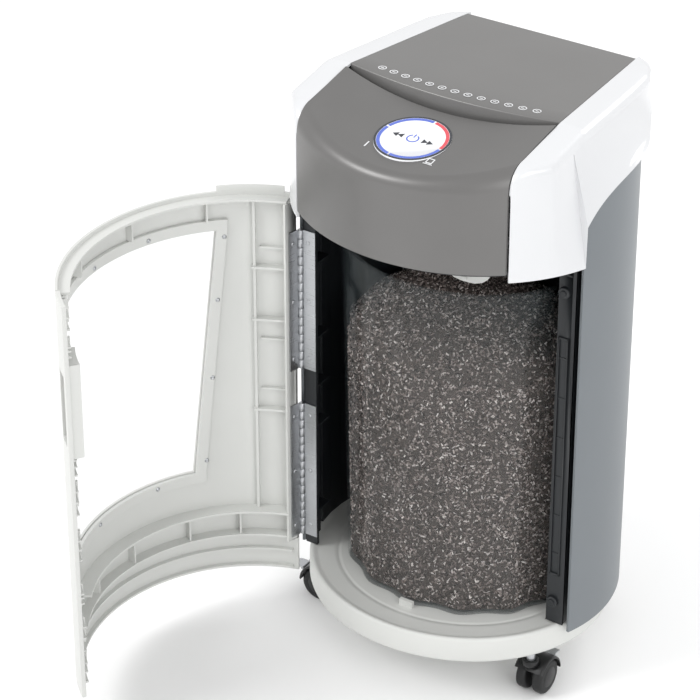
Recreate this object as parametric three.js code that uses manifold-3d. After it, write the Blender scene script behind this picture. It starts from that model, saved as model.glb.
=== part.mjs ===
// Office paper shredder: a drum-shaped cabinet on a round tray with casters, a hinged curved door
// with a window, a clear pull-out bin, and a cutting head under a sloped control panel.
// Millimetres, +Z up. The model is drawn around the drum's centre line with the floor at z = 0,
// and the last lines move it so that the origin is the middle of its footprint on the floor.
// The door is drawn closed and then turned open about its hinge pin.
import * as THREE from "three";
import Module from "manifold-3d";
import { mergeVertices } from "three/addons/utils/BufferGeometryUtils.js";
import { ParametricGeometry } from "three/addons/geometries/ParametricGeometry.js";

const wasm = await Module();
wasm.setup();

// ---------------------------------------------------------------- driving dimensions
const DEG = Math.PI / 180;
const DRUM = { x: 178, y: 165 }; // half width and half depth of the side panels
const HEAD = { x: 186, y: 173 }; // half width and half depth of the head's front half
const HEAD_BACK = 171; // from the drum's centre to the flat back of the head
const HEAD_TURN = 115; // angle where the head's outline leaves the oval and runs straight back
const HEAD_CORNER = { x: 119.5, y: 171 }; // rear corner, before rounding
const HEAD_ROUND = 15; // size of that rounding
const TRAY = { x: 168, y: 155 }; // half width and half depth of the base tray
const WALL = 3; // moulded wall
const GAP = 0.3; // clearance between touching pieces

const TRAY_BOTTOM = 58;
const TRAY_TOP = 88;
const TRAY_FLOOR = 85;
const PANEL_BOTTOM = 82;
const PANEL_TOP = 626;
const PANEL_EDGE = 70.5; // angle of the right side panel's front edge
const HINGE_EDGE = 67.5; // angle of the left side panel's front edge
const PANEL_BACK = 128; // angle where a side panel meets the rear panel

const HEAD_BOTTOM = 539; // lower edge of the grey front
const COVER_BOTTOM = 530; // lower front edge of the white covers
const COVER_SIDE = 69; // angle where the cover's lower edge sweeps up
const SLOT_HALF = 122; // half width of the paper slot
const SLOT_Y = -31; // rear wall of the slot at its two ends
const SLOT_BOW = 14; // forward bow of the slot at its middle
const SLOT_GAP = 8;
const SLOT_TOP = 664; // upper edge of the slot's rear wall
const SLOT_STEP = 11; // the control panel is this much lower
const REAR_HALF = 100; // half width of the grey top at its back edge
const REAR_TOP = 648;
const PANEL_SLOPE = 0.12; // fall of the control panel towards the front
const PANEL_DISH = 11.5; // the control panel's sides stand this much above its middle
const NOSE = 13; // radius of the soft nose below the control panel
const NOSE_GROWTH = 12; // how much larger that radius is at the sides

const HINGE = { x: -158, y: -72 };
const DOOR_OPEN = 104;
const DOOR_SKIN = -1; // the door's skin stands 1 mm proud of the side panels
const DOOR_LEFT = -62;
const DOOR_SPLIT = 57.5; // where the skin ends and the edge strip begins
const DOOR_RIGHT = 69.3;
const DOOR_BOTTOM = 48;
const DOOR_TOP = 521;
const DOOR_RAISED = 528;

const BIN = { x: 132, y: 115 }; // half width and half depth at the bin's bottom
const BIN_FLARE = 6;
const BIN_Y = 7;
const BIN_BOTTOM = 85.5;
const BIN_TOP = 484;
const BIN_WALL = 2.6;
const FLUTES = 14;

const CUTTER_Y = -44; // the nip where the paper is pulled in
const CUTTER_Z = 575;
const CUTTER_SPACING = 38;
const CUTTER_HALF = 122; // half length of the cutting zone
const DISC_RADIUS = 20;
const CORE_RADIUS = 13;
const DISC_PITCH = 20;
const DISC_COUNT = 12;
const DISC_WIDTH = 9.4;
const JOURNAL = 6; // radius of a cutter shaft's ends
const FRAME_X = 129; // inner face of the cutter frame's end plates
const FRAME_PLATE = 4;
const BIG_TEETH = 40;
const SMALL_TEETH = 10;
const SYNC_TEETH = 20;
const TRAIN_MODULE = 1.8;
const TRAIN_SPACING = (TRAIN_MODULE * (BIG_TEETH + SMALL_TEETH)) / 2;

const WHEEL_RADIUS = 20;
const TRAIL = 14; // from a caster's stem to its axle
// Stem position and how far the caster is turned about it.
const CASTERS = {
  front_right: [135, -75, 0],
  front_left: [-138, -38, 90],
  rear_right: [98, 88, 0],
  rear_left: [-98, 88, 0],
};

const COLOURS = {
  gloss_white: [0xebebed, 0.25, 0],
  white: [0xd9dad6, 0.45, 0],
  grey_satin: [0x86868a, 0.38, 0.35],
  slate: [0x8a9398, 0.4, 0.25],
  black: [0x16181a, 0.55, 0],
  dark: [0x2a2c2e, 0.6, 0],
  steel: [0xb9bcc0, 0.3, 0.9],
  blade_steel: [0x8d9196, 0.35, 0.9],
  clear: [0xdfe6e6, 0.1, 0],
  paper: [0x7a6e69, 0.95, 0],
  board: [0x1f5a3a, 0.6, 0],
  nylon: [0xe6e2d4, 0.5, 0],
  disc_white: [0xf4f5f7, 0.3, 0],
  tyre: [0x1b1c1d, 0.8, 0],
};

// ---------------------------------------------------------------- geometry helpers
const shredder = new THREE.Group();

function clean(geometry) {
  const bare = geometry.clone();
  bare.deleteAttribute("normal");
  bare.deleteAttribute("uv");
  const merged = mergeVertices(bare, 1e-4);
  const index = merged.index.array;
  const kept = [];
  for (let i = 0; i < index.length; i += 3) {
    const [a, b, c] = [index[i], index[i + 1], index[i + 2]];
    if (a !== b && b !== c && c !== a) kept.push(a, b, c);
  }
  merged.setIndex(kept);
  return merged;
}

function signedVolume(geometry) {
  const position = geometry.attributes.position;
  const index = geometry.index.array;
  const [a, b, c] = [new THREE.Vector3(), new THREE.Vector3(), new THREE.Vector3()];
  let sum = 0;
  for (let i = 0; i < index.length; i += 3) {
    a.fromBufferAttribute(position, index[i]);
    b.fromBufferAttribute(position, index[i + 1]);
    c.fromBufferAttribute(position, index[i + 2]);
    sum += a.dot(b.cross(c));
  }
  return sum / 6;
}

function facingOut(geometry) {
  if (signedVolume(geometry) < 0) geometry.index.array.reverse();
  return geometry;
}

function toSolid(geometry) {
  const closed = facingOut(clean(geometry));
  return new wasm.Manifold(
    new wasm.Mesh({
      numProp: 3,
      vertProperties: closed.attributes.position.array,
      triVerts: new Uint32Array(closed.index.array),
    }),
  );
}

function toGeometry(solid) {
  const { vertProperties, triVerts } = solid.getMesh();
  const geometry = new THREE.BufferGeometry();
  geometry.setAttribute("position", new THREE.BufferAttribute(vertProperties, 3));
  geometry.setIndex(new THREE.BufferAttribute(triVerts, 1));
  return geometry;
}

const join = (...parts) => toGeometry(parts.map(toSolid).reduce((sum, part) => sum.add(part)));
const cut = (base, ...tools) =>
  toGeometry(tools.map(toSolid).reduce((rest, tool) => rest.subtract(tool), toSolid(base)));

function add(name, geometry, colour, parent = shredder) {
  const [color, roughness, metalness] = COLOURS[colour];
  const closed = facingOut(clean(geometry));
  closed.computeVertexNormals();
  const mesh = new THREE.Mesh(closed, new THREE.MeshStandardMaterial({ color, roughness, metalness }));
  mesh.name = name;
  parent.add(mesh);
  return mesh;
}

function block(x0, x1, y0, y1, z0, z1) {
  const box = new THREE.BoxGeometry(x1 - x0, y1 - y0, z1 - z0);
  return box.translate((x0 + x1) / 2, (y0 + y1) / 2, (z0 + z1) / 2);
}

function prism(points, z0, z1) {
  const shape = new THREE.Shape(points);
  const solid = new THREE.ExtrudeGeometry(shape, { depth: z1 - z0, bevelEnabled: false });
  return solid.translate(0, 0, z0);
}

// A cylinder along X, Y or Z whose near end is at the given start.
function rod(axis, start, length, radius, sides = 16, endRadius = radius) {
  const solid = new THREE.CylinderGeometry(endRadius, radius, length, sides);
  solid.translate(0, length / 2, 0);
  if (axis === "x") solid.rotateZ(-Math.PI / 2);
  if (axis === "z") solid.rotateX(Math.PI / 2);
  return solid.translate(...start);
}

// A point on an oval, at an angle in degrees from the front (-Y) towards +X.
function ovalPoint(half, angle, inset = 0) {
  const x = (half.x - inset) * Math.sin(angle * DEG);
  const y = -(half.y - inset) * Math.cos(angle * DEG);
  return new THREE.Vector2(x, y);
}

// The head's outline: an oval, then straight to a rounded rear corner.
function headPoint(angle, inset = 0) {
  const side = Math.abs(angle);
  const half = side <= 90 ? HEAD : { x: HEAD.x, y: HEAD_BACK };
  if (side <= HEAD_TURN) return ovalPoint(half, angle, inset);
  const start = ovalPoint(half, HEAD_TURN, inset);
  const corner = new THREE.Vector2(HEAD_CORNER.x - inset, HEAD_CORNER.y - inset);
  const before = corner.clone().lerp(start, HEAD_ROUND / corner.distanceTo(start));
  const after = new THREE.Vector2(corner.x - HEAD_ROUND, corner.y - 0.4);
  const share = (side - HEAD_TURN) / (COVER_BACK - HEAD_TURN);
  const turn = Math.min(1, Math.max(0, (share - 0.7) / 0.3));
  const point = share < 0.7
    ? start.lerp(before, share / 0.7)
    : before.clone().lerp(corner, turn).lerp(corner.clone().lerp(after, turn), turn);
  return new THREE.Vector2(Math.sign(angle) * point.x, point.y);
}

function spread(from, to, count) {
  return Array.from({ length: count + 1 }, (_, i) => from + ((to - from) * i) / count);
}

function ovalLoop(half, count, inset = 0) {
  return spread(-180, 180, count).slice(0, -1).map((angle) => ovalPoint(half, angle, inset));
}

// An upright curved plate of the drum between two angles and two insets.
function arcPlate(angle0, angle1, inset0, inset1, z0, z1, step = 5, half = DRUM) {
  const count = Math.max(1, Math.round(Math.abs(angle1 - angle0) / step));
  const angles = spread(angle0, angle1, count);
  const outer = angles.map((angle) => ovalPoint(half, angle, inset0));
  const inner = angles.map((angle) => ovalPoint(half, angle, inset1));
  return prism([...outer, ...inner.reverse()], z0, z1);
}

// A closed shell through stations that each hold an outer and an inner line of equal length.
// The first and last stations are closed flat.
function loft(stations) {
  const closeFlat = ({ outer, inner }) => {
    const middle = outer.map((point, i) => point.clone().lerp(inner[i], 0.5));
    return { outer: middle, inner: middle };
  };
  const rings = [closeFlat(stations[0]), ...stations, closeFlat(stations.at(-1))];
  const loops = rings.map(({ outer, inner }) => [...outer, ...inner.toReversed()]);
  const count = loops[0].length;
  const surface = (u, v, target) => {
    const loop = loops[Math.round(v * (loops.length - 1))];
    target.copy(loop[Math.round(u * count) % count]);
  };
  return new ParametricGeometry(surface, count, loops.length - 1);
}

// A curved patch of the door or drum whose two upright edges may slant.
function curvedPatch(z0, z1, leftAt, rightAt, inset0, inset1, segments = 16) {
  const station = (z) => {
    const angles = spread(leftAt(z), rightAt(z), segments);
    const line = (inset) => angles.map((angle) => {
      const point = ovalPoint(DRUM, angle, inset);
      return new THREE.Vector3(point.x, point.y, z);
    });
    return { outer: line(inset0), inner: line(inset1) };
  };
  return loft([station(z0), station(z1)]);
}

// ---------------------------------------------------------------- base tray
function buildTray() {
  const bowl = cut(
    prism(ovalLoop(TRAY, 48), TRAY_BOTTOM, TRAY_TOP),
    prism(ovalLoop(TRAY, 48, 6), TRAY_FLOOR, TRAY_TOP + 1),
    ...Object.values(CASTERS).map(([x, y]) => rod("z", [x, y, TRAY_BOTTOM - 1], 17, 5.3, 12)),
  );
  const tab = block(-8, 8, BIN_Y - BIN.y - 4, BIN_Y - BIN.y + 0.6, TRAY_FLOOR - 1, TRAY_FLOOR + 7);
  return join(bowl, tab);
}
add("base_tray", buildTray(), "white");

// ---------------------------------------------------------------- outer side panels
// The lower edge of the white head covers, which sweeps up over the side panels.
function coverLow(angle) {
  if (angle < COVER_SIDE) return COVER_BOTTOM;
  return 618 - 43 * Math.exp((COVER_SIDE - angle) / 9);
}

// A side panel ends just under the cover's lower edge.
function buildSidePanel(edge) {
  const station = (angle) => {
    const line = (inset) => [PANEL_BOTTOM, coverLow(angle) + 5].map((z) => {
      const point = ovalPoint(DRUM, angle, inset);
      return new THREE.Vector3(point.x, point.y, z);
    });
    return { outer: line(0), inner: line(WALL) };
  };
  const angles = [...(edge < COVER_SIDE ? [edge, COVER_SIDE] : [edge]), ...spread(73, PANEL_BACK, 12)];
  return loft(angles.map(station));
}
add("right_side_panel", buildSidePanel(PANEL_EDGE), "slate");
add("left_side_panel", buildSidePanel(HINGE_EDGE).scale(-1, 1, 1), "slate");

const INLET = { x: -28, z: 575, halfWidth: 14, halfHeight: 10 };
const SWITCH = { x: -58, z: 575, halfWidth: 7.5, halfHeight: 13.5 };

function buildRearPanel() {
  const seam = 0.2;
  const panel = arcPlate(PANEL_BACK + seam, 360 - PANEL_BACK - seam, 0, WALL, PANEL_BOTTOM, PANEL_TOP);
  const through = ({ x, z, halfWidth, halfHeight }) =>
    block(x - halfWidth, x + halfWidth, 100, 180, z - halfHeight, z + halfHeight);
  const vents = spread(556, 604, 4).map((z) => block(8, 96, 100, 180, z - 3, z + 3));
  return cut(panel, through(INLET), through(SWITCH), ...vents);
}
add("rear_panel", buildRearPanel(), "slate");

// ---------------------------------------------------------------- inner walls and door posts
const INNER_BOTTOM = TRAY_TOP + GAP;
const INNER_TOP = COVER_BOTTOM - 2;
const POST_FRONT = -55; // front face of the latch post

function buildInnerWall(side) {
  const wall = arcPlate(side * 79, side * 126, 12, 15, INNER_BOTTOM, INNER_TOP, 8);
  const ribs = [110, 290, 480].map((z) => arcPlate(side * 79, side * 126, 4, 12.5, z, z + 2.5, 8));
  const uprights = [86, 101, 118].map((a) =>
    arcPlate(side * (a - 0.5), side * (a + 0.5), 4, 12.5, INNER_BOTTOM, INNER_TOP, 1));
  return join(wall, ...ribs, ...uprights);
}
add("right_inner_wall", buildInnerWall(1), "black");
add("left_inner_wall", buildInnerWall(-1), "black");
add("rear_inner_wall", arcPlate(127, 233, 12, 15, INNER_BOTTOM, INNER_TOP), "black");

function buildLatchPost() {
  const front = POST_FRONT;
  const plate = block(140, 160, front, front + 4, INNER_BOTTOM, INNER_TOP);
  const pocket = block(143, 155, front - 1, front + 5, 150, 440);
  const web = block(156, 160, front + 3, -36, INNER_BOTTOM, INNER_TOP);
  const bosses = [116, 492].map((z) => rod("y", [148, front - 4, z], 6, 6.5, 16));
  const holes = [116, 492].map((z) => rod("y", [148, front - 5, z], 12, 4, 12));
  return cut(join(cut(plate, pocket), web, ...bosses), ...holes);
}
add("latch_post", buildLatchPost(), "black");

const LEAF = { lower: [99, 268], upper: [312, 480] };
const LEAF_FRONT = HINGE.y + 1.8; // front face of the hinge post

function buildHingePost() {
  return join(
    block(-154.6, -140.5, LEAF_FRONT, LEAF_FRONT + 4, INNER_BOTTOM, INNER_TOP),
    block(-157, -153, HINGE.y + 3.7, -44, INNER_BOTTOM, INNER_TOP),
    ...[130, 240, 290, 350, 440].map((z) => block(-154, -140.5, LEAF_FRONT + 3, -44, z, z + 2.5)),
  );
}
add("hinge_post", buildHingePost(), "dark");

// ---------------------------------------------------------------- head floor
function buildHeadFloor() {
  const plate = prism(ovalLoop(DRUM, 48, 6), COVER_BOTTOM, COVER_BOTTOM + 5);
  const outlet = block(-112, 112, CUTTER_Y - 32, CUTTER_Y + 32, COVER_BOTTOM - 1, COVER_BOTTOM + 6);
  return cut(plate, outlet);
}
add("head_floor", buildHeadFloor(), "black");

// ---------------------------------------------------------------- head: grey front and top
const headFront = (x) => -HEAD.y * Math.sqrt(1 - (x / HEAD.x) ** 2);
const headBack = (x) => HEAD_BACK - 0.4 * (x / REAR_HALF) ** 2;
const slotRear = (x) => SLOT_Y - SLOT_BOW * (1 - (x / SLOT_HALF) ** 2);
const slotFront = (x) => slotRear(x) - SLOT_GAP;
const noseRadius = (x) => NOSE + NOSE_GROWTH * (x / SLOT_HALF) ** 2;
const panelHeight = (x, y) =>
  SLOT_TOP - SLOT_STEP + PANEL_SLOPE * (y - SLOT_Y + SLOT_GAP) + PANEL_DISH * (x / SLOT_HALF) ** 2;
const topHeight = (y) =>
  SLOT_TOP - ((SLOT_TOP - REAR_TOP) * (y - SLOT_Y)) / (HEAD_BACK - SLOT_Y);
const topHalf = (y) =>
  SLOT_HALF - ((SLOT_HALF - REAR_HALF) * Math.max(0, y - SLOT_Y)) / (HEAD_BACK - SLOT_Y);
const SLOT_DEPTH = 24; // how far the slot's walls reach down

// Front fascia and control panel in one moulding: sections across X.
function buildFrontCover() {
  const half = SLOT_HALF - GAP;
  const section = (x, inset) => {
    const front = headFront(x) + inset;
    const radius = noseRadius(x) - inset;
    const centre = { y: front + radius, z: panelHeight(x, headFront(x)) - noseRadius(x) };
    const nose = spread(180, 90, 5).map((turn) => [
      centre.y + radius * Math.cos(turn * DEG),
      centre.z + radius * Math.sin(turn * DEG),
    ]);
    const rear = slotFront(x) - inset;
    const line = [
      [front, HEAD_BOTTOM],
      ...nose,
      [rear, panelHeight(x, slotFront(x)) - inset],
      [rear, panelHeight(0, slotFront(x)) - SLOT_DEPTH],
    ];
    return line.map(([y, z]) => new THREE.Vector3(x, y, z));
  };
  const xs = spread(-half, half, 12);
  return loft(xs.map((x) => ({ outer: section(x, 0), inner: section(x, WALL) })));
}
const DISC = { x: 0, y: -108, radius: 39 };
const discTilt = Math.atan(PANEL_SLOPE);
const discHeight = panelHeight(DISC.x, DISC.y);
function discShape(radius, low, high) {
  const solid = rod("z", [0, 0, low], high - low, radius, 32);
  return solid.rotateX(discTilt).translate(DISC.x, DISC.y, discHeight);
}
add("front_cover", cut(buildFrontCover(), discShape(DISC.radius + GAP, -8, 8)), "grey_satin");
add("control_disc", discShape(DISC.radius, -5, 0.8), "disc_white");

// Grey top behind the slot, with the slot's rear wall and the turned-down back edge.
function buildRearTop() {
  const section = (share, inset) => {
    const place = (y, z) => new THREE.Vector3(share * (topHalf(y) - GAP), y, z);
    const x = share * SLOT_HALF;
    const slot = slotRear(x) + inset;
    const back = headBack(share * REAR_HALF) - inset;
    const radius = 8 - inset;
    const top = topHeight(back) - inset;
    const corner = spread(90, 0, 3).map((turn) => [
      back - radius + radius * Math.cos(turn * DEG),
      top - radius + radius * Math.sin(turn * DEG),
    ]);
    const line = [
      [slot, SLOT_TOP - SLOT_STEP - SLOT_DEPTH],
      [slot, SLOT_TOP - inset],
      ...corner,
      [back, PANEL_TOP - 6],
    ];
    return line.map(([y, z]) => place(y, z));
  };
  const shares = spread(-1, 1, 12);
  return loft(shares.map((share) => ({ outer: section(share, 0), inner: section(share, WALL) })));
}
add("rear_top_cover", buildRearTop(), "grey_satin");

// ---------------------------------------------------------------- head: white side covers
const COVER_FRONT = 41.9; // angle of the cover's front edge
const COVER_BACK = 153.2;

// The cover's inner border: up the nose, beside the control panel, along the grey top.
function coverBorder(share) {
  const front = ovalPoint(HEAD, COVER_FRONT).y;
  const y = front + (headBack(REAR_HALF) - front) * share;
  const radius = noseRadius(SLOT_HALF);
  const crown = panelHeight(SLOT_HALF, front);
  const height = (at) => {
    if (at > SLOT_Y) return topHeight(at);
    if (at < front + radius) return crown - radius + Math.sqrt(radius ** 2 - (front + radius - at) ** 2);
    return THREE.MathUtils.mapLinear(at, front + radius, SLOT_Y, crown, SLOT_TOP);
  };
  return new THREE.Vector3(topHalf(y) + GAP, y, height(y));
}

// From the inner border over a narrow crown, then straight down and out to the foot.
const CROWN_WIDTH = 29;
const CROWN = [[1.08, 11], [1.02, 5.5], [0.87, 2], [0.6, 0.6], [0, 0]]; // share of the width, fall

function buildHeadCover() {
  const angles = [
    COVER_FRONT, COVER_FRONT + 1.2, ...spread(COVER_FRONT + 4, COVER_SIDE - 0.1, 6),
    ...spread(COVER_SIDE + 0.1, COVER_BACK, 18),
  ];
  const station = (angle) => {
    const border = coverBorder((angle - COVER_FRONT) / (COVER_BACK - COVER_FRONT));
    const low = coverLow(angle);
    const line = (inset) => {
      const wall = headPoint(angle, inset);
      const width = Math.hypot(wall.x - border.x, wall.y - border.y);
      const reach = Math.min(0.85, CROWN_WIDTH / width);
      const foot = ovalPoint(DRUM, angle, angle < COVER_SIDE ? inset - 5 : -0.8);
      const footHeight = angle < COVER_SIDE ? low : low + inset;
      const crown = CROWN.map(([part, fall]) => new THREE.Vector3(
        THREE.MathUtils.lerp(border.x, wall.x, part * reach),
        THREE.MathUtils.lerp(border.y, wall.y, part * reach),
        border.z - inset - fall,
      ));
      return [
        new THREE.Vector3(foot.x, foot.y, footHeight),
        new THREE.Vector3(wall.x, wall.y, footHeight),
        ...crown,
      ];
    };
    return { outer: line(0), inner: line(WALL) };
  };
  return loft(angles.map(station));
}
add("right_head_cover", buildHeadCover(), "gloss_white");
add("left_head_cover", buildHeadCover().scale(-1, 1, 1), "gloss_white");

// ---------------------------------------------------------------- throat and cutting unit
// A plate drawn as (y, z) points and extruded along X.
function sidewaysPrism(points, x0, x1) {
  const solid = prism(points.map(([y, z]) => new THREE.Vector2(y, z)), x0, x1);
  return solid.rotateX(Math.PI / 2).rotateZ(Math.PI / 2);
}

function throatPlate(topY, bottomY, thickness) {
  const low = CUTTER_Z + DISC_RADIUS + 3;
  const high = SLOT_TOP - SLOT_STEP - SLOT_DEPTH - 2;
  const outline = [[topY, high], [topY + thickness, high], [bottomY + thickness, low], [bottomY, low]];
  return sidewaysPrism(outline, -SLOT_HALF, SLOT_HALF);
}
add("front_throat_plate", throatPlate(-59, CUTTER_Y - 6, 2.5), "black");
add("rear_throat_plate", throatPlate(-28.5, CUTTER_Y + 3.5, 2.5), "black");

const FRONT_SHAFT_Y = CUTTER_Y - CUTTER_SPACING / 2;
const REAR_SHAFT_Y = CUTTER_Y + CUTTER_SPACING / 2;

// A cutter shaft: discs along a core, with a thinner journal at each end.
function cutterShaft(y, firstDisc, count, leftEnd, rightEnd) {
  const edge = FRAME_X - 1.5;
  const profile = [[0, leftEnd], [JOURNAL, leftEnd], [JOURNAL, -edge], [CORE_RADIUS, -edge]];
  for (let i = 0; i < count; i++) {
    const middle = firstDisc + i * DISC_PITCH;
    const [near, far] = [middle - DISC_WIDTH / 2, middle + DISC_WIDTH / 2];
    profile.push([CORE_RADIUS, near], [DISC_RADIUS, near], [DISC_RADIUS, far], [CORE_RADIUS, far]);
  }
  profile.push([CORE_RADIUS, edge], [JOURNAL, edge], [JOURNAL, rightEnd], [0, rightEnd]);
  const points = profile.map(([radius, along]) => new THREE.Vector2(radius, along));
  return new THREE.LatheGeometry(points, 12).rotateZ(-Math.PI / 2).translate(0, y, CUTTER_Z);
}
const FIRST_DISC = -((DISC_COUNT - 1) * DISC_PITCH) / 2;
const PLATE_OUT = FRAME_X + FRAME_PLATE;
add("front_cutter_shaft", cutterShaft(FRONT_SHAFT_Y, FIRST_DISC, DISC_COUNT, -PLATE_OUT - 11, PLATE_OUT), "blade_steel");
add(
  "rear_cutter_shaft",
  cutterShaft(REAR_SHAFT_Y, FIRST_DISC + DISC_PITCH / 2, DISC_COUNT - 1, -PLATE_OUT - 11, PLATE_OUT + 22),
  "blade_steel",
);

// A spur gear about the X axis. With a turn of half a tooth a gap faces the mating gear.
function gear(teeth, module, x0, x1, bore, turn) {
  const pitch = (module * teeth) / 2;
  const step = 360 / teeth;
  const outline = [];
  for (let i = 0; i < teeth; i++) {
    const middle = turn + i * step;
    const corners = [[-0.3, -1.1], [-0.13, 0.8], [0.13, 0.8], [0.3, -1.1]];
    for (const [share, height] of corners) {
      const angle = (middle + share * step) * DEG;
      const radius = pitch + height * module;
      outline.push([radius * Math.cos(angle), radius * Math.sin(angle)]);
    }
  }
  return cut(sidewaysPrism(outline, x0, x1), rod("x", [x0 - 1, 0, 0], x1 - x0 + 2, bore, 16));
}
function placedGear(y, z, ...shape) {
  return gear(...shape).translate(0, y, z);
}
const SYNC_MODULE = CUTTER_SPACING / SYNC_TEETH;
const SYNC_X = [-PLATE_OUT - 9.5, -PLATE_OUT - 1.5];
const TRAIN_INNER = [PLATE_OUT + 2, PLATE_OUT + 9]; // motor pinion and the idler's large wheel
const TRAIN_OUTER = [PLATE_OUT + 12, PLATE_OUT + 20]; // the idler's small wheel and the drive gear
const BORE = JOURNAL + GAP;
add("front_sync_gear",
  placedGear(FRONT_SHAFT_Y, CUTTER_Z, SYNC_TEETH, SYNC_MODULE, ...SYNC_X, BORE, 0), "steel");
add("rear_sync_gear",
  placedGear(REAR_SHAFT_Y, CUTTER_Z, SYNC_TEETH, SYNC_MODULE, ...SYNC_X, BORE, 180 / SYNC_TEETH), "steel");

// The train from the motor climbs to an idler and comes down to the drive gear.
const IDLER_ANGLE = 25;
const IDLER = {
  y: REAR_SHAFT_Y + TRAIN_SPACING * Math.cos(IDLER_ANGLE * DEG),
  z: CUTTER_Z + TRAIN_SPACING * Math.sin(IDLER_ANGLE * DEG),
};
const MOTOR_ANGLE = -10;
const MOTOR = {
  y: IDLER.y + TRAIN_SPACING * Math.cos(MOTOR_ANGLE * DEG),
  z: IDLER.z + TRAIN_SPACING * Math.sin(MOTOR_ANGLE * DEG),
  radius: 27,
};
const AXLE_RADIUS = 4;
add("drive_gear",
  placedGear(REAR_SHAFT_Y, CUTTER_Z, BIG_TEETH, TRAIN_MODULE, ...TRAIN_OUTER, BORE, IDLER_ANGLE), "steel");

function buildIdler() {
  const bore = AXLE_RADIUS + GAP;
  const small = gear(SMALL_TEETH, TRAIN_MODULE, TRAIN_INNER[1] - 0.5, TRAIN_OUTER[1], bore,
    IDLER_ANGLE + 180 + 180 / SMALL_TEETH);
  const large = gear(BIG_TEETH, TRAIN_MODULE, ...TRAIN_INNER, bore, MOTOR_ANGLE);
  return join(small, large).translate(0, IDLER.y, IDLER.z);
}
add("idler_gear", buildIdler(), "nylon");

function buildMotorPinion() {
  const wheel = gear(SMALL_TEETH, TRAIN_MODULE, ...TRAIN_INNER, 2, MOTOR_ANGLE + 180 + 180 / SMALL_TEETH);
  const shaft = rod("x", [FRAME_X - 6, 0, 0], TRAIN_INNER[1] - FRAME_X + 7, 3, 12);
  return join(wheel, shaft).translate(0, MOTOR.y, MOTOR.z);
}
add("motor_pinion", buildMotorPinion(), "steel");

function buildMotor() {
  const can = rod("x", [10, MOTOR.y, MOTOR.z], FRAME_X - GAP - 10, MOTOR.radius, 24);
  const cap = rod("x", [0, MOTOR.y, MOTOR.z], 11, MOTOR.radius * 0.6, 20);
  const seat = rod("x", [FRAME_X - 8, MOTOR.y, MOTOR.z], 10, 3 + GAP, 12);
  return cut(join(can, cap), seat);
}
add("motor", buildMotor(), "dark");

function framePlate(side, extras) {
  const [x0, x1] = side > 0 ? [FRAME_X, PLATE_OUT] : [-PLATE_OUT, -FRAME_X];
  const outline = [[-98, 541], [94, 541], [94, 614], [10, 614], [-12, 598], [-98, 598]];
  const holes = [FRONT_SHAFT_Y, REAR_SHAFT_Y].map((y) => rod("x", [x0 - 1, y, CUTTER_Z], 6, BORE, 16));
  return cut(sidewaysPrism(outline, x0, x1), ...holes, ...extras);
}
const pinionHole = rod("x", [FRAME_X - 1, MOTOR.y, MOTOR.z], 6, 5, 16);
const idlerAxle = rod("x", [FRAME_X + 1, IDLER.y, IDLER.z], TRAIN_OUTER[1] - FRAME_X + 1, AXLE_RADIUS, 16);
add("left_cutter_plate", framePlate(-1, []), "steel");
add("right_cutter_plate", join(framePlate(1, [pinionHole]), idlerAxle), "steel");

const BAR_LENGTH = 2 * (FRAME_X - GAP);
add("front_tie_rod", rod("x", [-FRAME_X + GAP, -88, 551], BAR_LENGTH, 4, 12), "steel");
add("rear_tie_rod", rod("x", [-FRAME_X + GAP, 18, 551], BAR_LENGTH, 4, 12), "steel");

function stripperComb(outerY, innerY, tipY, firstTooth, count) {
  const bar = block(-FRAME_X + GAP, FRAME_X - GAP, Math.min(outerY, innerY), Math.max(outerY, innerY), 566, 584);
  const teeth = spread(0, count - 1, count - 1).map((i) => {
    const x = firstTooth + i * DISC_PITCH;
    return block(x - 4, x + 4, Math.min(innerY, tipY) - 0.5, Math.max(innerY, tipY) + 0.5, 571, 579);
  });
  return join(bar, ...teeth);
}
add("front_stripper_comb",
  stripperComb(-92, -86, -78.5, FIRST_DISC + DISC_PITCH / 2, DISC_COUNT - 1), "black");
add("rear_stripper_comb", stripperComb(4, -2, -9.5, FIRST_DISC, DISC_COUNT), "black");

// ---------------------------------------------------------------- electrics
add("control_board", block(-45, 45, -150, -78, 624, 625.6), "board");

function buildInlet() {
  const { x, z, halfWidth, halfHeight } = INLET;
  const body = block(x - halfWidth + GAP, x + halfWidth - GAP, 132, 165.5, z - halfHeight + GAP, z + halfHeight - GAP);
  const recess = block(x - 10.5, x + 10.5, 145, 167, z - 6.5, z + 6.5);
  const blades = [-6, 0, 6].map((offset) => block(x + offset - 1, x + offset + 1, 144, 160, z - 2.5, z + 2.5));
  return join(cut(body, recess), ...blades);
}
add("power_inlet", buildInlet(), "black");

function buildSwitchHousing() {
  const { x, z, halfWidth, halfHeight } = SWITCH;
  const body = block(x - halfWidth + GAP, x + halfWidth - GAP, 138, 160, z - halfHeight + GAP, z + halfHeight - GAP);
  return cut(body, block(x - 5.4, x + 5.4, 146, 161, z - 11.2, z + 11.2));
}
add("switch_housing", buildSwitchHousing(), "black");
add("mains_switch_rocker", block(SWITCH.x - 5, SWITCH.x + 5, 148.5, 161, SWITCH.z - 8.4, SWITCH.z + 8.4), "dark");
add("door_interlock_switch", block(140, 155, POST_FRONT + 4 + GAP, POST_FRONT + 18, 446, 474), "dark");

const FLAP = { x: 48, y: -82, z: 524 };
function buildFlap() {
  const outline = [[-32, 0], [32, 0], [32, -18], [20, -34], [5, -37], [-5, -37], [-20, -34], [-32, -18]];
  const blade = prism(outline.map(([x, z]) => new THREE.Vector2(x, z)), -1.5, 1.5).rotateX(Math.PI / 2);
  const barrel = rod("x", [-34, 0, 0], 68, 3, 12);
  const nub = rod("y", [0, -4, -33], 3, 3, 12);
  return join(blade, barrel, nub).translate(FLAP.x, FLAP.y, FLAP.z);
}
add("bin_full_flap", buildFlap(), "white");

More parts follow.
